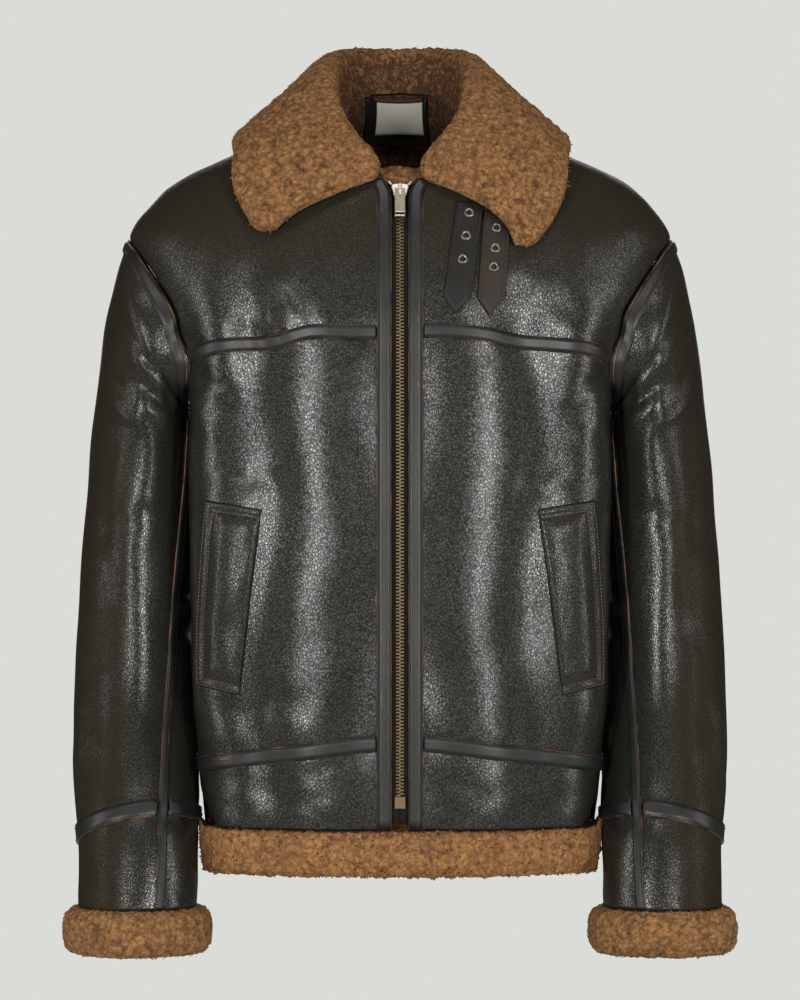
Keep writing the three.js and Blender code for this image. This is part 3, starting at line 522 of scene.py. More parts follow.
# Where the upright middles of the body and of a sleeve stand, in metres.
BODY_AXIS, SLEEVE_AXIS_X = (0.0, -0.005), 0.245


def shoulder_rub(points):
    """Rubbed and dull on top of the shoulders, less so down the fronts."""
    return np.clip(1.1 * smoothstep(points[:, 2], -215, -60) + 0.04, 0, 1)


def body_cloth(name, place, width, height, across, up):
    """A body panel. Its leather swells a little between the seams that pull it in."""

    def puffed(u, v):
        points = place(u, v, 0.0)
        lift = place(u, v, 1.0) - points
        edge = from_edge(u, v, width, height)
        pinch = np.exp(-edge / 7.0)
        pucker = np.exp(-edge / 16.0) * rumple(points, 17.0) * 0.7
        swell = 0.8 * rumple(points, 46.0, 2.0) * (1 - pinch)
        return points + lift * (0.2 - 1.3 * pinch + pucker + swell)[:, None]

    made = grid_sheet(name, puffed, across, up, (leather, lining), away_from(BODY_AXIS))
    add_attribute(made.data, "rub", shoulder_rub(get_points(made.data)))
    thicken(made, WALL)
    declare_cloth(made, name, puffed)


# Fronts: on each side a yoke above the chest seam, a main panel, and a band below the waist
# seam whose side edge slants in to a vent. Cut from one hide and sewn edge to edge.
def front_sheet(side, bottom, top, edge):
    def place(u, v, out):
        z = lerp(bottom(u), top(u), v)
        return body_point(side, front_turn(u, z, edge), z, out)

    return place


def band_vent(z):
    return lerp(74, 90, smoothstep(z, BAND_BOTTOM, -610))


def gusset_sheet(side):
    def place(u, v, out):
        return body_point(side, lerp(64, 116, u), lerp(BAND_BOTTOM + 1, -612, v), -7.6 + out)

    return place


for side, label in SIDES:

    def chest(u, side=side):
        return seam_height(u, lambda x: row_at(CHEST_SEAM[side], "x", x)["z"], side_turn)

    def waist(u):
        return seam_height(u, lambda x: row_at(WAIST_SEAM, "x", np.minimum(x, 187))["z"], side_turn)

    def neck(u):
        return row_at(NECK, "turn", lerp(11, 90, u))["z"]

    half = SEAM_GAP / 2
    yoke = front_sheet(side, lambda u: chest(u) + half, lambda u: neck(u) - half, side_turn)
    body_cloth(f"front_yoke_{label}", yoke, 210, 150, 80, 72)
    panel = front_sheet(side, lambda u: waist(u) + half, lambda u: chest(u) - half, side_turn)
    body_cloth(f"front_panel_{label}", panel, 230, 380, 76, 136)
    band = front_sheet(side, lambda u: BAND_BOTTOM + half + 0 * u, lambda u: waist(u) - half, band_vent)
    body_cloth(f"front_band_{label}", band, 200, 70, 84, 26)
    gusset = gusset_sheet(side)
    body_cloth(f"side_gusset_{label}", gusset, 150, 46, 24, 8)


# Back: one whole panel up to the shoulders and nape, and a band below it. Nothing is on it.
def back_sheet(bottom, top, edge):
    def place(u, v, out):
        side = np.where(u < 0.5, -1.0, 1.0)
        share = np.abs(2 * u - 1)
        z = lerp(bottom, top(share), v)
        return body_point(side, lerp(180.0, edge(z) + SEAM_GAP / 7, share), z, out)

    return place


def nape_top(share):
    return row_at(NECK, "turn", lerp(180, 90, share))["z"] - SEAM_GAP / 2


WAIST_SIDE = -606.0
back = back_sheet(WAIST_SIDE + 0.2, nape_top, lambda z: side_turn(z, True))
body_cloth("back_panel", back, 480, 620, 110, 130)
back_band = back_sheet(
    BAND_BOTTOM + 0.2,
    lambda share: WAIST_SIDE - 0.2 + 0 * share,
    lambda z: lerp(96, 91, smoothstep(z, BAND_BOTTOM, -610)),
)
body_cloth("back_band", back_band, 420, 54, 140, 20)

# Sleeves: an outer and an under panel with a seam in front and one behind, from the armhole
# down to an arched cuff seam, and a cuff of the same hide below it.
SLEEVE = columns(
    "down outer_x outer_z inner_x inner_z mid depth",
    (30, 265, -145, 200.5, -275, 3, 77),
    (60, 272, -174, 199.5, -288, 7, 76),
    (90, 277.8, -202, 197.6, -302, 11, 75),
    (150, 286, -258, 195.2, -330, 18, 73.5),
    (210, 291.8, -312, 194, -361, 22, 72),
    (270, 296.8, -367, 193.8, -395, 24, 71),
    (330, 301.2, -424, 193.6, -434, 24, 70),
    (395, 305, -488, 193.4, -488, 21, 68.5),
    (460, 307, -553, 192.6, -553, 8, 66.5),
    (515, 306, -608, 190.8, -608, -16, 64),
    (552, 302.5, -645, 189.6, -645, -36, 61.5),
    (585, 298, -678, 188.6, -678, -52, 59),
    (615, 297, -706, 187.4, -706, -62, 57.5),
    (646, 297.8, -736, 187, -736, -70, 56.5),
)
SLEEVE_SQUARE = 2.1
SLEEVE_SEAM = columns(
    "down turn",
    (0, 176), (60, 168), (150, 154), (270, 141), (395, 131), (515, 122), (646, 113),
)
BACK_SEAM_TURN = 262.0
CUFF_END = 646.0
MM_PER_DEGREE = 1.15
# Creases of the sleeve, each from one angle and distance down to another.
SLEEVE_CREASES = columns(
    "turn down turn2 down2 width depth",
    (128, 70, 62, 122, 11, -3.4),
    (178, 46, 178, 96, 16, 2.6),
    (178, 500, 178, 560, 20, 2.8),
    (136, 48, 84, 78, 9, 2.6),
    (118, 104, 70, 150, 13, 2.4),
    (96, 150, 92, 480, 17, 2.4),
    (60, 180, 56, 500, 15, -1.6),
    (20, 452, 8, 540, 8, -3.0),
    (34, 470, 22, 548, 9, 2.0),
    (100, 262, 46, 300, 13, -1.6),
    (206, 322, 150, 352, 13, -2.4),
    (212, 372, 148, 392, 12, -2.6),
    (200, 346, 152, 372, 12, 2.2),
    (214, 330, 322, 372, 13, -2.6),
    (226, 392, 312, 404, 12, -2.2),
    (220, 360, 318, 390, 11, 2.2),
    (220, 250, 310, 300, 14, -2.0),
    (230, 60, 300, 120, 12, -3.0),
    (222, 96, 286, 150, 12, 2.2),
    (300, 180, 302, 520, 16, 2.2),
    (150, 566, 108, 560, 10, -1.4),
)


def armhole_point(turn):
    z = (SHOULDER_TIP + UNDERARM) / 2 + (SHOULDER_TIP - UNDERARM) / 2 * np.cos(np.radians(turn))
    inside = np.clip(z, UNDERARM + 0.01, SHOULDER_TIP - 0.01)
    behind = np.mod(turn, 360) > 180
    return body_base(np.where(behind, side_turn(inside, True), side_turn(inside)), z)


def sleeve_ring(k, turn):
    """A point of one row's ring; row 0 is the armhole's own edge."""
    if k == 0:
        return armhole_point(turn)
    c, s = np.cos(np.radians(turn)), np.sin(np.radians(turn))
    power = 2 / SLEEVE_SQUARE
    out = (1 + signed_power(c, power)) / 2
    ahead = signed_power(s, power)
    row = {name: values[k - 1] for name, values in SLEEVE.items()}
    return np.stack(
        [
            lerp(row["inner_x"], row["outer_x"], out),
            row["mid"] - ahead * row["depth"],
            lerp(row["inner_z"], row["outer_z"], out),
        ],
        -1,
    )


def sleeve_base(turn, down):
    """A point of the sleeve: turn 0 outside, 90 in front, 180 inside; down from the shoulder tip."""
    turn, down = np.broadcast_arrays(turn * 1.0, down * 1.0)
    downs = np.concatenate([[0.0], SLEEVE["down"]])
    rings = np.stack([sleeve_ring(k, turn) for k in range(len(downs))]).reshape(len(downs), -1, 3)
    at = np.arange(turn.size).reshape(turn.shape)
    return curve(downs, down, lambda k: rings[k, at])


def sleeve_point(side, turn, down, out=0.0):
    turn, down, out = np.broadcast_arrays(turn * 1.0, down * 1.0, out * 1.0)
    base = sleeve_base(turn, down)
    creases = SLEEVE_CREASES | {k: SLEEVE_CREASES[k] * MM_PER_DEGREE for k in ("turn", "turn2")}
    height = fold_height(creases, np.mod(turn, 360) * MM_PER_DEGREE, down)
    height *= smoothstep(down, 14, 60)
    normal = normal_of(sleeve_base, turn, np.clip(down, 1, CUFF_END - 1), 1, 0.9)
    return on_side(base + normal * (height + out)[..., None], side)


def seam_turn(down):
    return row_at(SLEEVE_SEAM, "down", down)["turn"]


def cuff_seam(turn):
    return 571 - 20 * np.cos(np.radians(turn - seam_turn(560.0)))


def sleeve_cloth(name, node, place, width, height, across, up, axis, joined=False):
    def puffed(u, v):
        points = place(u, v, 0.0)
        lift = place(u, v, 1.0) - points
        edge = (1 - v) * height if not joined else np.minimum(v, 1 - v) * height
        if not joined:
            edge = np.minimum(edge, np.minimum(u, 1 - u) * width)
        pinch = np.exp(-edge / 6.0)
        pucker = np.exp(-edge / 15.0) * rumple(points, 16.0) * 0.6
        swell = 0.8 * rumple(points, 42.0, 1.0) * (1 - pinch)
        return points + lift * (0.1 - 1.1 * pinch + pucker + swell)[:, None]

    made = grid_sheet(name, puffed, across, up, (leather, lining), away_from(axis), joined)
    x, _, z = get_points(made.data).T
    outer = smoothstep(np.abs(x), 236, 268)
    add_attribute(made.data, "rub", np.clip(0.5 * smoothstep(z, -330, -120) + outer, 0, 1))
    thicken(made, WALL)
    declare_cloth(made, node, puffed)


for side, label in SIDES:

    def sleeve_sheet(start, end, side=side):
        def place(u, v, out):
            reach = cuff_seam(lerp(start(560.0), end(560.0), u)) - SEAM_GAP / 2
            down = lerp(0.4, reach, v)
            return sleeve_point(side, lerp(start(down) + 0.45, end(down) - 0.45, u), down, out)

        return place

    axis = (side * SLEEVE_AXIS_X, -0.005)
    under = sleeve_sheet(seam_turn, lambda down: BACK_SEAM_TURN + 0 * down)
    upper = sleeve_sheet(lambda down: BACK_SEAM_TURN - 360 + 0 * down, seam_turn)
    sleeve_cloth(f"sleeve_under_panel_{label}", f"sleeve_under_{label}", under, 140, 480, 44, 150, axis)
    sleeve_cloth(f"sleeve_outer_panel_{label}", f"sleeve_upper_{label}", upper, 260, 560, 72, 140, axis)

    def cuff(u, v, out, side=side):
        turn = 360 * u
        return sleeve_point(side, turn, lerp(cuff_seam(turn) + SEAM_GAP / 2, CUFF_END, v), out)

    cuff_axis = (side * SLEEVE_AXIS_X, -0.055)
    sleeve_cloth(f"cuff_{label}", f"cuff_{label}", cuff, 360, 80, 132, 30, cuff_axis, joined=True)

# Strips of smooth dark cowhide, sewn down along both edges over every main seam. Their
# edges are worn through to the tan hide here and there.
STRIP_LEATHER, STRIP_SHEEN, STRIP_WORN = "#121212", "#232324", "#9a5f33"
LIFT, STRIP, STRIP_WIDTH = 0.85, 1.6, 13.5
WAIST_STRIP_WIDTH, CUFF_STRIP_WIDTH = 15.0, 15.5
ZIP_STRIP_INNER, ZIP_STRIP_OUTER, ZIP_TOP = 7.6, 21.4, -68.0
SEAM_STRIP_START = 22.4


def binding_leather(name, low_edge, high_edge, worn):
    """Smooth leather whose v runs across the strip. low_edge and high_edge say how worn
    the edges are, from 0 to 1."""
    made, tree, shader = new_material(name, {"IOR": 1.5, "Coat Weight": 0.12, "Coat Roughness": 0.35})
    place = add_node(tree, "TexCoord")
    across = add_node(tree, "SeparateXYZ", {0: add_node(tree, "UVMap", uv_map="cloth")})
    v = across.outputs["Y"]
    blotch = add_node(tree, "TexNoise", {"Vector": place.outputs["Object"], "Scale": 55, "Detail": 4})
    fine = add_node(tree, "TexNoise", {"Vector": place.outputs["Object"], "Scale": 900, "Detail": 2})
    low = add_node(tree, "MapRange", {"Value": v, "From Max": 0.13, "To Min": low_edge, "To Max": 0})
    high = add_node(tree, "MapRange", {"Value": v, "From Min": 0.87, "To Min": 0, "To Max": high_edge})
    edge = add_node(tree, "Math", {0: low, 1: high}, operation="MAXIMUM")
    chance = add_node(tree, "Math", {0: edge, 1: blotch}, operation="MULTIPLY")
    ridge = add_node(tree, "MapRange", {"Value": v, "From Min": 0.56, "From Max": 0.64})
    past = {"From Min": 0.64, "From Max": 0.72, "To Min": 1, "To Max": 0}
    ridge_end = add_node(tree, "MapRange", {"Value": v, **past})
    on_ridge = add_node(tree, "Math", {0: ridge, 1: ridge_end}, operation="MULTIPLY")
    rare = add_node(tree, "TexNoise", {"Vector": place.outputs["Object"], "Scale": 28, "Detail": 3})
    spot = add_node(tree, "MapRange", {"Value": rare, "From Min": 0.6, "From Max": 0.68, "To Max": 0.5})
    spots = add_node(tree, "Math", {0: spot, 1: on_ridge, 2: chance}, operation="MULTIPLY_ADD")
    wear = add_node(tree, "MapRange", {"Value": spots, "From Min": 0.3, "From Max": 0.5})
    dark, sheen = linear(STRIP_LEATHER), linear(STRIP_SHEEN)
    base = add_node(tree, "Mix", {0: blotch, 6: dark, 7: sheen}, data_type="RGBA")
    colour = add_node(tree, "Mix", {0: wear, 6: base.outputs[2], 7: linear(worn)}, data_type="RGBA")
    rough = add_node(tree, "MapRange", {"Value": blotch, "To Min": 0.34, "To Max": 0.5})
    relief = add_node(tree, "Bump", {"Height": fine, "Strength": 0.25, "Distance": 0.0003})
    connect(tree, shader, {"Base Color": colour.outputs[2], "Roughness": rough, "Normal": relief})
    return made


binding = binding_leather("waxed cowhide binding", 0.92, 0.92, STRIP_WORN)
armhole_binding = binding_leather("cowhide binding with a raw edge", 1.35, 0.75, "#b9936a")

THREAD_PITCH, THREAD_LENGTH, THREAD_WIDTH = 3.2, 2.3, 0.55
thread = plain("waxed linen thread", "#141312", 0.7)
topstitch = plain("tan linen thread", "#6f6353", 0.7)


def repeat_mesh(name, small, matrices, material):
    """One mesh of many copies of a small bmesh, placed by 4x4 matrices in millimetres."""
    small.verts.ensure_lookup_table()
    co = np.array([v.co[:] for v in small.verts])
    count, copies = len(co), len(matrices)
    faces = np.array([[v.index for v in f.verts] for f in small.faces])
    placed = np.einsum("nij,vj->nvi", matrices[:, :3, :3], co) + matrices[:, None, :3, 3]
    mesh = bpy.data.meshes.new(name)
    offsets = (np.arange(copies) * count)[:, None, None]
    every = (faces[None] + offsets).reshape(-1, faces.shape[1])
    mesh.from_pydata((placed.reshape(-1, 3) * MM).tolist(), [], every.tolist())
    mesh.polygons.foreach_set("use_smooth", np.ones(len(mesh.polygons), bool))
    return show(mesh, material)


def frames(points, ahead, up):
    """4x4 matrices with x along ahead, z along up, placed at the points."""
    x = unit(ahead)
    y = unit(np.cross(up, x))
    z = np.cross(x, y)
    made = np.zeros((len(points), 4, 4))
    made[:, :3, 0], made[:, :3, 1], made[:, :3, 2], made[:, :3, 3] = x, y, z, points
    made[:, 3, 3] = 1
    return made


def sew(name, lines, material, pitch=THREAD_PITCH):
    """Stitches along lines, each a function of 0 to 1 that gives points and raised points."""
    found = []
    for line in lines:
        t = np.linspace(0, 1, 400)
        points, _ = line(t)
        length = np.concatenate([[0], np.cumsum(np.linalg.norm(np.diff(points, axis=0), axis=-1))])
        marks = np.interp(np.arange(pitch, length[-1] - pitch, pitch), length, t)
        at, raised = line(marks)
        ahead = line(np.minimum(marks + 0.002, 1))[0] - line(np.maximum(marks - 0.002, 0))[0]
        found.append(frames(at, ahead, raised - at))
    stitch = bmesh.new()
    bmesh.ops.create_cube(stitch, size=1)
    bmesh.ops.scale(stitch, vec=(THREAD_LENGTH, THREAD_WIDTH, THREAD_WIDTH * 1.2), verts=stitch.verts)
    ends = [v for v in stitch.verts if v.co.z > 0]
    bmesh.ops.scale(stitch, vec=(0.72, 0.7, 1), verts=ends)
    made = repeat_mesh(name, stitch, np.concatenate(found), material)
    stitch.free()
    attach(made, "root")


def strip(name, place, steps, material, outward, joined=False):
    """A domed strip. place(u, v, out) takes u along it and v across it."""

    def domed(u, v):
        edge = np.abs(2 * v - 1)
        crown = 1 - edge**9 - 0.3 * np.exp(-(((edge - 0.74) / 0.12) ** 2))
        return place(u, v, LIFT - 0.7 + (STRIP + 0.5) * crown)

    made = grid_sheet(name, domed, steps, 14, (material,), outward, joined)
    thicken(made, 1.0, lined=False)
    declare_cloth(made, name, domed)
    if joined:
        return

    def row(t, v):
        return place(t, v + 0 * t, LIFT + STRIP * 0.9), place(t, v + 0 * t, LIFT + STRIP + 2)

    sew(f"{name}_stitching", [lambda t, v=v: row(t, v) for v in (0.13, 0.87)], thread)


for side, label in SIDES:

    def zip_strip(u, v, out, side=side):
        z = lerp(BAND_BOTTOM + 1, ZIP_TOP, u**0.8)
        across = lerp(ZIP_STRIP_INNER, ZIP_STRIP_OUTER, v) + front_edge(z) - FRONT_EDGE
        return front_point(side, across, z, out)

    def chest_strip(u, v, out, side=side):
        turn = lerp(turn_at(np.array(SEAM_STRIP_START), np.array(-209.0)), side_turn(np.array(-229.0)) - 1, u)
        x = body_base(turn, -215 + 0 * turn)[..., 0]
        z = row_at(CHEST_SEAM[side], "x", x)["z"] + (v - 0.5) * STRIP_WIDTH
        return body_point(side, turn, z, out)

    def armhole_strip(u, v, out, side=side):
        low = ((1 - np.cos(2 * np.pi * u)) / 2) ** 7
        down = lerp(lerp(1.8, 18, low), lerp(STRIP_WIDTH, 42, low), v)
        return sleeve_point(side, 360 * u, down, out + 0.5 * np.sqrt(low))

    def sleeve_strip(u, v, out, side=side):
        down = lerp(45, CUFF_END - 1, u)
        return sleeve_point(side, seam_turn(down) + (v - 0.5) * 11.2 / MM_PER_DEGREE, down, out)

    def cuff_strip(u, v, out, side=side):
        half = 5.6 / MM_PER_DEGREE + 1.5
        turn = lerp(seam_turn(560.0) + half, seam_turn(560.0) + 360 - half, u)
        return sleeve_point(side, turn, cuff_seam(turn) + (0.5 - v) * CUFF_STRIP_WIDTH, out)

    def waist_strip(u, v, out, side=side):
        turn = lerp(turn_at(np.array(SEAM_STRIP_START), np.array(-585.0)), 89.6, u)
        x = np.minimum(body_base(turn, -595 + 0 * turn)[..., 0], 187)
        return body_point(side, turn, row_at(WAIST_SEAM, "x", x)["z"] + (v - 0.5) * WAIST_STRIP_WIDTH, out)

    body_side, sleeve_side = away_from(BODY_AXIS), away_from((side * SLEEVE_AXIS_X, -0.005))
    strip(f"zip_strip_{label}", zip_strip, 190, binding, body_side)
    strip(f"chest_strip_{label}", chest_strip, 80, binding, body_side)
    strip(f"waist_strip_{label}", waist_strip, 80, binding, body_side)
    strip(f"armhole_strip_{label}", armhole_strip, 170, armhole_binding, sleeve_side, True)
    strip(f"sleeve_strip_{label}", sleeve_strip, 190, binding, sleeve_side)
    cuff_side = away_from((side * SLEEVE_AXIS_X, -0.035))
    strip(f"cuff_strip_{label}", cuff_strip, 120, binding, cuff_side)


def waist_back(u, v, out):
    side = np.where(u < 0.5, -1.0, 1.0)
    turn = lerp(180.0, 90.4, np.abs(2 * u - 1))
    return body_point(side, turn, WAIST_SIDE + (v - 0.5) * WAIST_STRIP_WIDTH, out)


strip("waist_strip_back", waist_back, 130, binding, away_from(BODY_AXIS))

# Wool: sheepskin with the fleece left long in tight curls, on the collar, hem and cuffs.
# Each piece is a soft body with a curl-sized relief, and loose locks stand out of it.
# WOOL_DARK is painted shade for the hollows between curls, WOOL_LIGHT painted highlight for their tips.
WOOL_DARK, WOOL_LIGHT = "#4c2f18", "#b5824e"
wool = curly_wool("curly sheep's wool", WOOL_DARK, WOOL_LIGHT, 5.2, 0.7)
SCATTER = (12.9898, 78.233, 37.719)


def curl_cells(points, size, seed):
    """Distance to the nearest of scattered curl centres about size apart, as a share of it."""
    cell = np.floor(points / size).astype(np.int64)
    nearest = np.full(len(points), 9.0)
    for step in np.ndindex(3, 3, 3):
        near = cell + np.array(step) - 1
        code = near[:, 0] * 73856093 ^ near[:, 1] * 19349663 ^ near[:, 2] * 83492791 ^ seed
        jitter = np.stack([np.mod(np.sin(code % 99991 * k) * 43758.5453, 1) for k in SCATTER], -1)
        nearest = np.minimum(nearest, np.linalg.norm((near + jitter) * size - points, axis=-1) / size)
    return nearest


def curled(points, normals, depth):
    """The wool's surface and how near each point is to a curl's tip, from 0 to 1."""
    bent = points + 2.2 * np.stack([rumple(points, 9.0, k) for k in (0.0, 1.3, 2.6)], -1)
    clump = 1 - np.clip(curl_cells(bent, 11.0, 7), 0, 1) ** 2
    curl = 1 - np.clip(curl_cells(bent, 5.2, 3), 0, 1) ** 2
    tip = 0.35 * clump + 0.65 * curl
    return points + normals * (depth * (tip - 0.75))[:, None], tip


def wool_locks(name, place, count, seed, tone_and_painted_shade):
    """Loose locks: short bent strands that lean out of the wool, thickest at the root."""
    rng = np.random.default_rng(seed)
    u, v = rng.random(count), rng.random(count)
    points, normals = place(u, v)
    across = unit(np.cross(normals, unit(rng.normal(size=(count, 3)))))
    lean = unit(normals + 1.5 * across)
    points = curled(points, normals, 4.0)[0] - normals * 1.2
    lock = bmesh.new()
    bmesh.ops.create_circle(lock, cap_ends=False, segments=3, radius=0.95)
    edges = list(lock.edges)
    for k in range(1, 4):
        grown = bmesh.ops.extrude_edge_only(lock, edges=edges)["geom"]
        verts = [g for g in grown if isinstance(g, bmesh.types.BMVert)]
        edges = [g for g in grown if isinstance(g, bmesh.types.BMEdge) and all(v in verts for v in g.verts)]
        middle = sum((v.co for v in verts), Vector()) / len(verts)
        bmesh.ops.scale(lock, vec=(0.84, 0.84, 1), verts=verts, space=Matrix.Translation(-middle))
        bmesh.ops.translate(lock, vec=(0.55 * k, 0.25 * math.sin(2 * k), 1.15 - 0.2 * k), verts=verts)
    bmesh.ops.triangulate(lock, faces=lock.faces)
    matrices = frames(points, across, lean)
    matrices[:, :3, :3] *= rng.uniform(0.6, 1.05, count)[:, None, None]
    made = repeat_mesh(name, lock, matrices, wool)
    per = len(lock.verts)
    lock.free()
    add_attribute(made.data, "tip", np.repeat(rng.uniform(0.45, 1.0, count) + tone_and_painted_shade(v), per))
    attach(made, "root")
    return made


def wool_piece(name, node, place, across, up, joined, locks, seed, tone_and_painted_shade=lambda v: 0 * v):
    """place(u, v) gives the wool's smooth surface and its outward normals; the last argument shifts its tone
    by v, lighter on the hem and darker on the collar's stand as painted shade.
    """
    shade = {}

    def surface(u, v):
        points, normals = place(u, v)
        points, tip = curled(points, normals, 4.6)
        shade["tip"] = tip + tone_and_painted_shade(v)
        return points

    made = grid_sheet(name, surface, across, up, (wool,))
    # The tip value also paints the curls lighter at their tips and darker between them, as painted highlight
    # and shade.
    add_attribute(made.data, "tip", shade["tip"])
    if joined:
        bm = bmesh.new()
        bm.from_mesh(made.data)
        bmesh.ops.remove_doubles(bm, verts=bm.verts, dist=1e-5)
        bmesh.ops.recalc_face_normals(bm, faces=bm.faces)
        bm.to_mesh(made.data)
        bm.free()
    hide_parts(node)
    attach(made, "root")
    loose = wool_locks(f"{name}_locks", place, locks, seed, tone_and_painted_shade)
    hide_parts(node)


def with_normals(base):
    """A surface of u and v with its normals, from steps along it."""

    def place(u, v):
        return base(u, v), normal_of(base, u, v, 0.002, 0.002)

    return place


# Hem: a roll of wool all round below the leather, a little higher in the side vents.
HEM_BOTTOM, HEM_OUT, HEM_AT_VENT, HEM_IN = -705.0, 8.6, 0.4, 9.0


def hem_ring(u, v):
    u, v = np.mod(u, 1), np.mod(v, 1)
    side = np.where(u < 0.5, -1.0, 1.0)
    turn = np.abs(360 * u - 180)
    level, out = np.cos(2 * np.pi * v), np.sin(2 * np.pi * v)
    vent = np.exp(-(((turn - 90) / 11) ** 2))
    top = BAND_BOTTOM - LIFT + 16 * vent * smoothstep(out, 0, 0.7)
    middle = (top + HEM_BOTTOM) / 2
    z = middle + signed_power(level, 0.75) * (top - middle)
    spread = signed_power(out, 0.8) * np.where(out > 0, lerp(HEM_OUT, HEM_AT_VENT, vent), HEM_IN)
    points = body_point(side, turn, np.clip(z, HEM_BOTTOM, -600), 1 + spread)
    points[..., 2] = z
    return points


def facing_out(place):
    """The same surface with u turned round, so that its normals point outwards."""
    return lambda u, v: place(1 - u, v)


wool_piece("wool_hem", "hem_fur", with_normals(hem_ring), 460, 44, True, 2600, 11, lambda v: 0.14 + 0 * v)

# Cuffs: a thicker roll round the end of each sleeve.
CUFF_TOP, CUFF_BOTTOM, CUFF_OUT, CUFF_IN = -737.0, -779.0, 13.6, 11.0
for side, label in SIDES:

    def cuff_ring(u, v, side=side):
        level, out = np.cos(2 * np.pi * v), np.sin(2 * np.pi * v)
        middle = (CUFF_TOP + CUFF_BOTTOM) / 2
        z = middle + signed_power(level, 0.8) * (CUFF_TOP - middle)
        spread = signed_power(out, 0.8) * np.where(out > 0, CUFF_OUT, CUFF_IN)
        points = sleeve_point(side, 360 * u, CUFF_END - 2, spread)
        points[..., 2] = z
        return points

    ring = cuff_ring if side > 0 else facing_out(cuff_ring)
    wool_piece(f"wool_cuff_{label}", f"cuff_fur_{label}", with_normals(ring), 180, 46, True, 1300, 23 + side)

# Collar: a shearling stand and leaf in one, wool side out, folded over along its roll. The
# leather side shows only underneath.
COLLAR = columns(
    "turn roll_x roll_y roll_z edge_turn edge_z arch bow fold",
    (12, 25, -107, -70, 46.3, -117, 4, 5, 2.5),
    (22, 32, -99, -50, 51, -117, 7, 3, 4),
    (34, 50, -84, -28, 55, -104, 9, 1, 6),
    (50, 64, -60, -3, 60, -85, 9, 0, 7),
    (70, 69, -28, 24, 70, -50, 3, 0, 8),
    (95, 67, 10, 44, 94, -32, 0.5, 0, 9),
    (122, 58, 48, 55, 120, -34, 1, 0, 9),
    (150, 33, 74, 60, 149, -40, 4, 0, 9),
    (180, 0, 82, 60, 180, -44, 5, 0, 9),
)
NEAR = 1 - smoothstep(COLLAR["turn"], 20, 90)
COLLAR_LEFT = {
    **COLLAR,
    "edge_turn": COLLAR["edge_turn"] - 3.2 * NEAR,
    "edge_z": COLLAR["edge_z"] - 14 * NEAR,
    "bow": COLLAR["bow"] * 2.6,
}
COLLAR_WOOL, COLLAR_CLEAR = 11.0, 5.0


def collar_line(table, turn, v):
    """The collar's leather face: v is 0 at the neck seam and 1 at the outer edge."""
    turn = np.minimum(turn, 180.0)
    row = row_at(table, "turn", turn)

    def roll_at(t):
        found = row_at(table, "turn", t)
        return np.stack([found["roll_x"], found["roll_y"], found["roll_z"]], -1)

    seam = body_base(turn, row_at(NECK, "turn", turn)["z"])
    seam[..., 2] += LIFT + 2.6
    roll = roll_at(turn)
    rim = body_base(row["edge_turn"], row["edge_z"])
    rim = rim + normal_of(body_base, row["edge_turn"], row["edge_z"], 0.5, 0.5) * COLLAR_CLEAR
    down = unit(rim - roll)
    along = unit(roll_at(turn + 2) - roll_at(turn - 2))
    away = unit(np.cross(down, along))
    bend = np.minimum(row["fold"], np.linalg.norm(roll - seam, axis=-1) * 0.45)[..., None]
    inner = roll + unit(seam - roll) * bend - away * bend * 0.3
    outer = roll + down * bend + away * bend * 0.3
    arch, bow = row["arch"][..., None], row["bow"][..., None]

    def on_leaf(share, arched, bowed):
        return lerp(outer, rim, share) + away * arch * arched + along * bow * bowed

    leaf = [on_leaf(0.33, 0.8, 0.6), on_leaf(0.68, 0.9, 1), on_leaf(0.88, 0.45, 0.7)]
    line = np.stack([seam, inner, roll, outer, *leaf, rim])
    keys = np.array([0, 0.16, 0.22, 0.28, 0.5, 0.75, 0.9, 1])
    at = np.arange(len(v))
    return curve(keys, v, lambda k: line[k, at])


def collar_place(u, v):
    """The collar's leather face and the direction of its wool, right round the neck."""
    u, v = np.broadcast_arrays(np.clip(u, 0, 1), np.clip(v, 0, 1))
    turn = lerp(180.0, 12.0, np.abs(2 * u - 1))
    left = u >= 0.5

    def base(t, w):
        t = np.clip(t, 12, 180)
        return np.where(left[:, None], collar_line(COLLAR_LEFT, t, w), collar_line(COLLAR, t, w))

    normals = -normal_of(base, np.clip(turn, 14, 178), np.clip(v, 0.03, 0.97), 1.5, 0.02)
    normals[turn > 179, 0] = 0
    side = np.where(left, 1.0, -1.0)
    return on_side(base(turn, v), side), on_side(unit(normals), side), turn


def collar_wool(u, v):
    points, normals, turn = collar_place(u, v)
    edge = np.minimum(np.minimum((turn - 12) * 1.5, (1 - v) * 150), v * 150 + 7)
    share = np.clip(edge / COLLAR_WOOL, 0.03, 1)
    grown = points + normals * (COLLAR_WOOL * np.sqrt(1 - (1 - share) ** 2))[:, None]
    grown[:, 2] -= 7 * np.clip(1 - v / 0.08, 0, 1)  # it hangs over the neck seam inside
    return grown, normals


def stand_painted_shade(v):
    """Painted shade: the stand's inner face, in the shade inside the neck, is painted darker than the leaves.
    """
    return -0.75 * (1 - smoothstep(v, 0.16, 0.24))


wool_piece("collar_wool", "collar", collar_wool, 420, 110, False, 4400, 5, stand_painted_shade)


def collar_skin(u, v):
    points, normals, _ = collar_place(u, v)
    return points + normals * 0.3


skin = grid_sheet("collar_leather", collar_skin, 150, 40, (leather,))
add_attribute(skin.data, "rub", 0.4)
thicken(skin, 1.2, lined=False)
declare_cloth(skin, "collar", collar_skin)

# The wool that shows in the V above the slider, on the inner face of the fronts.
FACING_HALF = 23.0


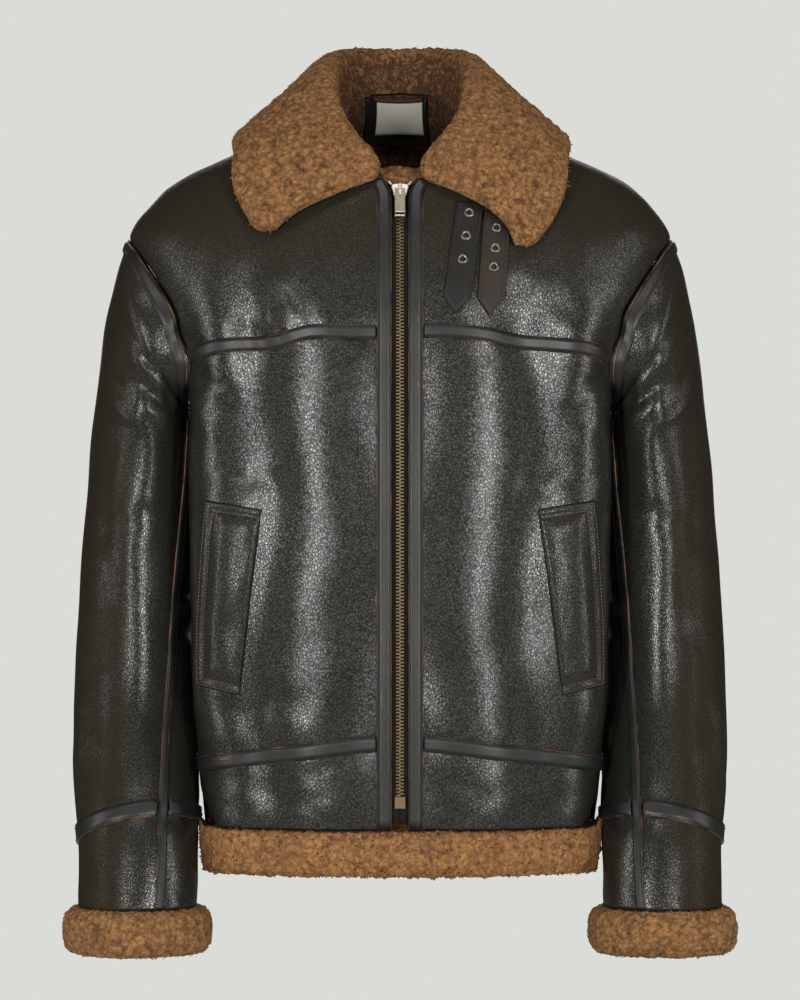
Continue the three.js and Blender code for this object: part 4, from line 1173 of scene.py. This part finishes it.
def facing_place(u, v):
    x = lerp(-FACING_HALF, FACING_HALF, u)
    rise = 3 * np.cos(math.pi * x / (2 * FACING_HALF))
    edge = from_edge(u, v, 2 * FACING_HALF, 43)
    bulge = 7 * np.sqrt(np.clip(1 - (1 - np.clip(edge / 9, 0, 1)) ** 2, 0, 1))
    side = np.where(x < 0, -1.0, 1.0)
    return front_point(side, np.abs(x), lerp(-94, -51, v) + rise * v, -WALL - 12 + bulge)


wool_piece("neck_facing_wool", "neck_facing", with_normals(facing_place), 60, 48, False, 350, 8)

# Zip: a No. 8 metal zip, closed. Brass teeth grip a cotton tape on each side; the slider sits
# at the top with its pull tab hanging, and a box closes the bottom.
TOOTH_PITCH, TOOTH_LENGTH, TOOTH_HEIGHT, TOOTH_DEPTH = 3.15, 4.7, 1.8, 2.6
CHAIN_TOP, CHAIN_BOTTOM, TAPE_TOP, TAPE_BOTTOM = -84.0, -632.0, -70.0, -656.0


def worn_metal(name, colour, grime, roughness):
    """Plated metal, darker in its scratches and hollows."""
    made, tree, shader = new_material(name, {"Metallic": 1.0})
    place = add_node(tree, "TexCoord").outputs["Object"]
    marks = add_node(tree, "TexNoise", {"Vector": place, "Scale": 420, "Detail": 4, "Roughness": 0.7})
    colours = add_node(tree, "Mix", {0: marks, 6: linear(grime), 7: linear(colour)}, data_type="RGBA")
    rough = add_node(tree, "MapRange", {"Value": marks, "To Min": roughness + 0.15, "To Max": roughness})
    connect(tree, shader, {"Base Color": colours.outputs[2], "Roughness": rough})
    return made


brass = worn_metal("aged brass", "#c4ab88", "#5a4a36", 0.28)
nickel = worn_metal("nickel plate", "#d6d4cc", "#77736a", 0.2)
antique = worn_metal("antique nickel", "#a39a88", "#5b5346", 0.28)
gunmetal = worn_metal("gunmetal", "#aaa7a1", "#45423d", 0.25)
# This dark cloth is the zip's own tape, and it also paints the shade in the tab's groove and in the eyelets'
# holes.
tape_cloth_and_painted_shade = plain("woven cotton tape and painted shade", "#171615", 0.95)


def middle_point(x, z, out):
    x = np.asarray(x, float)
    return front_point(np.where(x < 0, -1.0, 1.0), np.abs(x), z, out)


for side, label in SIDES:

    def tape(u, v, side=side):
        z = lerp(TAPE_BOTTOM, TAPE_TOP, v**0.8)
        return front_point(side, lerp(0.3, 13, u) + front_edge(z) - FRONT_EDGE, z, -WALL - 0.6)

    made = grid_sheet(f"zip_tape_{label}", tape, 4, 160, (tape_cloth_and_painted_shade,), away_from(BODY_AXIS))
    thicken(made, 0.9, lined=False)
    declare_cloth(made, f"zip_tape_{label}", tape)


def bevel_edges(bm, width, steps):
    how = {"offset_type": "OFFSET", "profile": 0.5, "affect": "EDGES", "material": -1}
    bmesh.ops.bevel(bm, geom=bm.edges, offset=width, segments=steps, **how)


# Each tooth is a bevelled bar, and the two rows lie half a pitch apart so that they mesh.
tooth = bmesh.new()
bmesh.ops.create_cube(tooth, size=1)
bmesh.ops.scale(tooth, vec=(TOOTH_LENGTH, TOOTH_HEIGHT, TOOTH_DEPTH), verts=tooth.verts)
bevel_edges(tooth, 0.4, 1)
bmesh.ops.triangulate(tooth, faces=tooth.faces)
teeth = []
for side, _ in SIDES:
    z = np.arange(CHAIN_BOTTOM + 1 + (side > 0) * TOOTH_PITCH / 2, CHAIN_TOP, TOOTH_PITCH)
    at = middle_point(side * 1.5 + 0 * z, z, -WALL + 1.6)
    raised = middle_point(side * 1.5 + 0 * z, z, -WALL + 3.6)
    teeth.append(frames(at, np.tile([1.0, 0, 0], (len(z), 1)), raised - at))
chain = repeat_mesh("zip_teeth", tooth, np.concatenate(teeth), brass)
tooth.free()
chain.data.polygons.foreach_set("use_smooth", np.zeros(len(chain.data.polygons), bool))
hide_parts("zip_chain")
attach(chain, "root")


def plate(name, outline, depth, bevel, material):
    """A flat bevelled plate from an outline in millimetres."""
    bm = bmesh.new()
    face = bm.faces.new([bm.verts.new((x, y, 0)) for x, y in outline])
    bm.normal_update()
    if face.normal.z < 0:
        face.normal_flip()
    grown = bmesh.ops.extrude_face_region(bm, geom=[face])["geom"]
    bmesh.ops.translate(bm, vec=(0, 0, depth), verts=[g for g in grown if isinstance(g, bmesh.types.BMVert)])
    bmesh.ops.recalc_face_normals(bm, faces=bm.faces)
    bevel_edges(bm, bevel, 2)
    mesh = bpy.data.meshes.new(name)
    bm.to_mesh(mesh)
    bm.free()
    return show(mesh, material)


def rectangle(half, low, high):
    return [(-half, low), (half, low), (half, high), (-half, high)]


def both_halves(right):
    """A whole outline from the points of its right half."""
    return right + [(-x, y) for x, y in reversed(right)]


def front_frame(x, z, out):
    """Where a flat piece lies on the front: x across, y up the cloth, z out of it."""
    at = middle_point(x, z, out)
    up = unit(middle_point(x, z + 4, out) - middle_point(x, z - 4, out))
    across = np.array([1.0, 0, 0])
    ahead = unit(np.cross(across, up))
    made = np.eye(4)
    made[:3, 0], made[:3, 1], made[:3, 2], made[:3, 3] = np.cross(up, ahead), up, ahead, at
    return made


def lay_on_front(made, place):
    """Puts a piece modelled flat in millimetres where it belongs, in metres."""
    made.data.transform(Matrix.Diagonal((MM, MM, MM, 1)) @ Matrix(place.tolist()))
    made.data.polygons.foreach_set("use_smooth", np.zeros(len(made.data.polygons), bool))
    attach(made, "root")


box = plate("zip_box", rectangle(5, -11, 0), 3.4, 0.5, brass)
lay_on_front(box, front_frame(0.0, CHAIN_BOTTOM, -WALL))
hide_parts("zip_box")

# Slider: a pressed body with wide shoulders, and a raised bridge for the tab.
SLIDER_RIGHT = [(3.6, -15), (6.2, -9), (7, -5), (8.4, -1), (7.4, 2.4), (2.4, 3)]
SLIDER_Z = -76.0
slider = plate("zip_slider", both_halves(SLIDER_RIGHT), 4.4, 0.9, nickel)
lay_on_front(slider, front_frame(0.0, SLIDER_Z, -WALL + 3.4))
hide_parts("zip_slider")
bridge = plate("slider_bridge", rectangle(1.3, -10.6, 2), 3.0, 0.6, nickel)
lay_on_front(bridge, front_frame(0.0, SLIDER_Z, -WALL + 7.7))
for side, label in SIDES:
    stop = plate(f"zip_top_stop_{label}", rectangle(1.3, -2.6, 2.6), 2.6, 0.5, gunmetal)
    tilt = np.array(Matrix.Rotation(-side * 0.7, 4, "Z"))
    lay_on_front(stop, front_frame(side * 9.2, -70.5, -WALL - 0.5) @ tilt)

# Pull tab: a plain cast plate, slotted at its top to straddle the bridge, with two bright bars
# across its lower end and, between them, a thin dark strip of painted shade for the groove.
TAB_PIVOT = -79.4
TAB_RIGHT = [(2.1, -8.4), (2.1, 1), (4, 1), (4.8, -1), (4.8, -28)]
tab = plate("pull_tab", both_halves(TAB_RIGHT), 1.6, 0.3, antique)
tab_place = front_frame(0.0, TAB_PIVOT, -WALL + 8.4)
lay_on_front(tab, tab_place)
for name, low, high, thick, metal in (
    ("pull_tab_bar", -23.8, -22.6, 0.5, nickel),
    # Painted shade: a thin dark strip stands in for the shade in the groove between the bars.
    ("pull_tab_groove", -25.9, -23.9, 0.14, tape_cloth_and_painted_shade),
    ("pull_tab_edge", -27.6, -26.0, 0.5, nickel),
):
    band = plate(name, rectangle(4.4, low, high), thick, 0.05, metal)
    lay_on_front(band, tab_place @ np.array(Matrix.Translation((0, 0, 1.55))))
    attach(band, "pull_tab")
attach(tab, "pull_tab")
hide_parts("pull_tab")

# Pockets: a slanted welt of doubled leather on each front, double-stitched round its outer
# edge. Its opening is the edge nearer the zip.
POCKET = {
    "inner": ((148, -541), (127, -370.5)),
    "outer": ((181.5, -532), (173.5, -362)),
}
WELT_WIDE, WELT_LONG = 46, 172
for side, label in SIDES:

    def welt(u, v, out=0.0, side=side):
        inner, outer = ([lerp(a, b, v) for a, b in zip(*POCKET[edge])] for edge in POCKET)
        x, z = (lerp(a, b, u) for a, b in zip(inner, outer))
        return front_point(side, x + 3.5 * np.sin(np.pi * v) * u, z, out)

    def raised_welt(u, v):
        from_side = np.minimum(u * WELT_WIDE, (1 - u) * WELT_WIDE + 1)
        edge = np.minimum(from_side, np.minimum(v, 1 - v) * WELT_LONG)
        outer = np.minimum((1 - u) * WELT_WIDE, np.minimum(v, 1 - v) * WELT_LONG)
        rim = 2.0 * (1 - np.exp(-edge / 1.3))
        groove = -1.3 * np.exp(-(((outer - 7.5) / 1.8) ** 2))
        crown = 2.4 * smoothstep(outer, 8, 20) * np.sin(np.pi * np.clip(u * 1.15, 0, 1)) ** 0.5
        slack = 0.8 * rumple(welt(u, v), 24.0, 4.0) * smoothstep(edge, 3, 12)
        return welt(u, v, LIFT + rim + groove + crown + slack)

    made = grid_sheet(f"pocket_welt_{label}", raised_welt, 36, 100, (leather,), away_from(BODY_AXIS))
    add_attribute(made.data, "rub", 0.35)
    thicken(made, 1.4, lined=False)
    declare_cloth(made, f"pocket_welt_{label}", raised_welt)

    def welt_seam(inset):
        a, b = inset / WELT_WIDE, inset / WELT_LONG
        path = np.array([(0.02, 1 - b), (1 - a, 1 - b), (1 - a, b), (0.02, b)])
        sides = np.linalg.norm(np.diff(path, axis=0) * (WELT_WIDE, WELT_LONG), axis=-1)
        legs = np.concatenate([[0], np.cumsum(sides)])

        def line(t):
            u, v = (np.interp(t, legs / legs[-1], path[:, k]) for k in (0, 1))
            flat = raised_welt(u, v)
            lift = welt(u, v, 1.0) - welt(u, v, 0.0)
            return flat + lift * 0.25, flat + lift * 2

        return line

    sew(f"pocket_stitching_{label}", [welt_seam(2.2), welt_seam(8.4)], topstitch)

# Throat straps: two pointed straps of plain dark leather under the wearer's left leaf. Each
# has three eyelets with rolled gunmetal rims, and a dark disc of painted shade in each hole.
STRAP_TOP, STRAP_SHOULDER, STRAP_POINT, STRAP_WIDE, STRAP_THICK = -90, -177, -193, 25.0, 2.4


def strap_hide(name, dark, light):
    finish = {"Coat Weight": 0.05, "Coat Roughness": 0.4, "Specular IOR Level": 0.28}
    made, tree, shader = new_material(name, finish)
    place = add_node(tree, "TexCoord").outputs["Object"]
    blotch = add_node(tree, "TexNoise", {"Vector": place, "Scale": 60, "Detail": 4})
    colour = add_node(tree, "Mix", {0: blotch, 6: linear(dark), 7: linear(light)}, data_type="RGBA")
    fine = add_node(tree, "TexNoise", {"Vector": place, "Scale": 1100, "Detail": 2})
    relief = add_node(tree, "Bump", {"Height": fine, "Strength": 0.2, "Distance": 0.0003})
    rough = add_node(tree, "MapRange", {"Value": blotch, "To Min": 0.4, "To Max": 0.56})
    connect(tree, shader, {"Base Color": colour.outputs[2], "Roughness": rough, "Normal": relief})
    return made


strap_leather = strap_hide("dark strap leather", "#141211", "#221e1b")
worn_strap = strap_hide("browned strap leather", "#1d1815", "#3a2d24")
STRAPS = (
    ("inner", 64.5, 52.0, 0.0, (-100.5, -121.7, -143.2), strap_leather),
    ("outer", 90.0, 83.0, -1.5, (-114.0, -132.8, -150.0), worn_strap),
)
EYELET_RIM, EYELET_HOLE = 4.8, 2.3
for name, top_x, bottom_x, drop, eyelets, hide in STRAPS:

    def middle_x(z, top_x=top_x, bottom_x=bottom_x):
        return lerp(top_x, bottom_x, (STRAP_TOP - z) / (STRAP_TOP - STRAP_SHOULDER))

    def strap(u, v, out=LIFT + STRAP_THICK, drop=drop, middle_x=middle_x):
        foot = drop + lerp(STRAP_POINT, STRAP_SHOULDER, np.abs(2 * u - 1))
        z = lerp(foot, STRAP_TOP + drop * 6, v)
        edge = np.minimum(np.minimum(u, 1 - u) * STRAP_WIDE, v * 90)
        press = -0.5 * np.exp(-(((edge - 2.6) / 0.8) ** 2)) - 0.5 * np.exp(-edge / 0.5)
        return front_point(1.0, middle_x(z) + (u - 0.5) * STRAP_WIDE, z, out + press)

    made = grid_sheet(f"throat_strap_{name}", strap, 28, 80, (hide,), away_from(BODY_AXIS))
    thicken(made, STRAP_THICK - 0.4, lined=False)
    declare_cloth(made, f"strap_{name}", strap)
    for i, z in enumerate(eyelets):
        rim = bmesh.new()
        crest = [(2.9, 1.3), (3.8, 1.45), (4.5, 1.1)]
        profile = [(EYELET_HOLE, 0.0), (EYELET_HOLE, 0.9), *crest, (EYELET_RIM, 0.3)]
        line = [rim.verts.new((x, 0, y)) for x, y in profile]
        edges = [rim.edges.new(pair) for pair in zip(line, line[1:])]
        about = {"cent": (0, 0, 0), "axis": (0, 0, 1), "angle": 2 * math.pi}
        bmesh.ops.spin(rim, geom=line + edges, steps=32, use_merge=True, **about)
        bmesh.ops.remove_doubles(rim, verts=rim.verts, dist=1e-4)
        bmesh.ops.recalc_face_normals(rim, faces=rim.faces)
        # Painted shade: a dark disc across the bottom of the hole stands in for the shade inside it.
        well = bmesh.ops.create_circle(rim, cap_ends=True, segments=20, radius=EYELET_HOLE + 0.1)["verts"]
        mesh = bpy.data.meshes.new(f"{name}_strap_eyelet_{i + 1}")
        for face in rim.faces:
            face.smooth = True
            face.material_index = 1 if all(v in well for v in face.verts) else 0
        rim.to_mesh(mesh)
        rim.free()
        eyelet = show(mesh, gunmetal, tape_cloth_and_painted_shade)
        on_strap = front_frame(float(middle_x(z)), float(z), LIFT + STRAP_THICK - 0.1)
        mesh.transform(Matrix.Diagonal((MM, MM, MM, 1)) @ Matrix(on_strap.tolist()))
        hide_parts(f"strap_{name}_eyelet_{i + 1}")
        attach(eyelet, "root")

# Neck patch: black leather with a plain off-white label sewn on it and a tan hanging loop, all
# on the lining below the nape.
label_cloth = plain("woven satin label", "#e2e0d6", 0.6)
loop_leather = plain("tan lace leather", "#4a3626", 0.6)


def in_nape(left, right, low, top, depth):
    """A flat piece inside the nape: from left to right, low to top, so far in from the wall."""

    def place(u, v):
        x = lerp(left, right, u)
        z = lerp(low, top, v)
        return body_point(np.where(x < 0, -1.0, 1.0), turn_at(np.abs(x), z, True), z, -WALL - depth)

    return place


NAPE_PIECES = (
    ("neck_patch", (-36, 29, -19, 23), 2.6, 1.5, strap_leather),
    ("neck_label", (-26, 25, -8, 20), 3.9, 0.6, label_cloth),
    ("hanging_loop", (-30, 25, 21.5, 24), 5.0, 1.4, loop_leather),
)
for name, size, depth, thick, material in NAPE_PIECES:
    place = in_nape(*size, depth)
    made = grid_sheet(name, place, 24, 12, (material,), lambda p: (0, -1.0, 0))
    thicken(made, thick, lined=False)
    declare_cloth(made, name, place)

# Stage: a pale floor well below the jacket, a plain pale surround, and soft studio lights.
# Tall boxes beside the camera draw the long upright glints in the leather.
BACKDROP = "#dbdcd7"
FLOOR_DROP = 0.32
floor_mesh = bpy.data.meshes.new("floor")
bm = bmesh.new()
bmesh.ops.create_circle(bm, cap_ends=True, segments=96, radius=1.5)
bm.to_mesh(floor_mesh)
bm.free()
floor_mesh.transform(Matrix.Translation((0, 0, cad_box[0][2] - FLOOR_DROP)))
floor_paint = plain("matt floor paint", BACKDROP, 0.95)
show(floor_mesh, floor_paint)

world = bpy.data.worlds.new("studio")
world.use_nodes = True
tree = world.node_tree
tree.nodes.clear()
seen = add_node(tree, "LightPath").outputs["Is Camera Ray"]
bright = add_node(tree, "Background", {"Color": linear(BACKDROP), "Strength": 1.0})
dim = add_node(tree, "Background", {"Color": linear("#dedfdc"), "Strength": 0.1})
mixed = add_node(tree, "MixShader", {0: seen, 1: dim, 2: bright})
add_node(tree, "OutputWorld", {"Surface": mixed})
bpy.context.scene.world = world
bpy.context.scene.view_settings.view_transform = "Standard"

LIGHTS = (
    ("left front box", (-1.27, -2.95, -0.25), 0.26, 1.4, 39, "#fffefb"),
    ("right front box", (1.27, -2.95, -0.25), 0.26, 1.4, 39, "#fffefb"),
    ("left side box", (-2.5, -0.9, -0.1), 0.5, 2.0, 18, "#fffdf9"),
    ("right side box", (2.5, -0.9, -0.1), 0.5, 2.0, 18, "#fffdf9"),
    ("top box", (0, -1.6, 2.0), 1.6, 0.6, 16, "#fffaf2"),
    ("back box", (0, 3.0, 0.6), 2.2, 1.6, 26, "#ffffff"),
)
for name, place, wide, tall, watts, colour in LIGHTS:
    data = bpy.data.lights.new(name, "AREA")
    data.shape = "RECTANGLE"
    data.size, data.size_y = wide, tall
    data.energy = watts
    data.color = linear(colour)[:3]
    light = add_object(name, data)
    light.location = place
    light.rotation_euler = (Vector((0, 0, CAMERA_HEIGHT)) - Vector(place)).to_track_quat("-Z", "Y").to_euler()
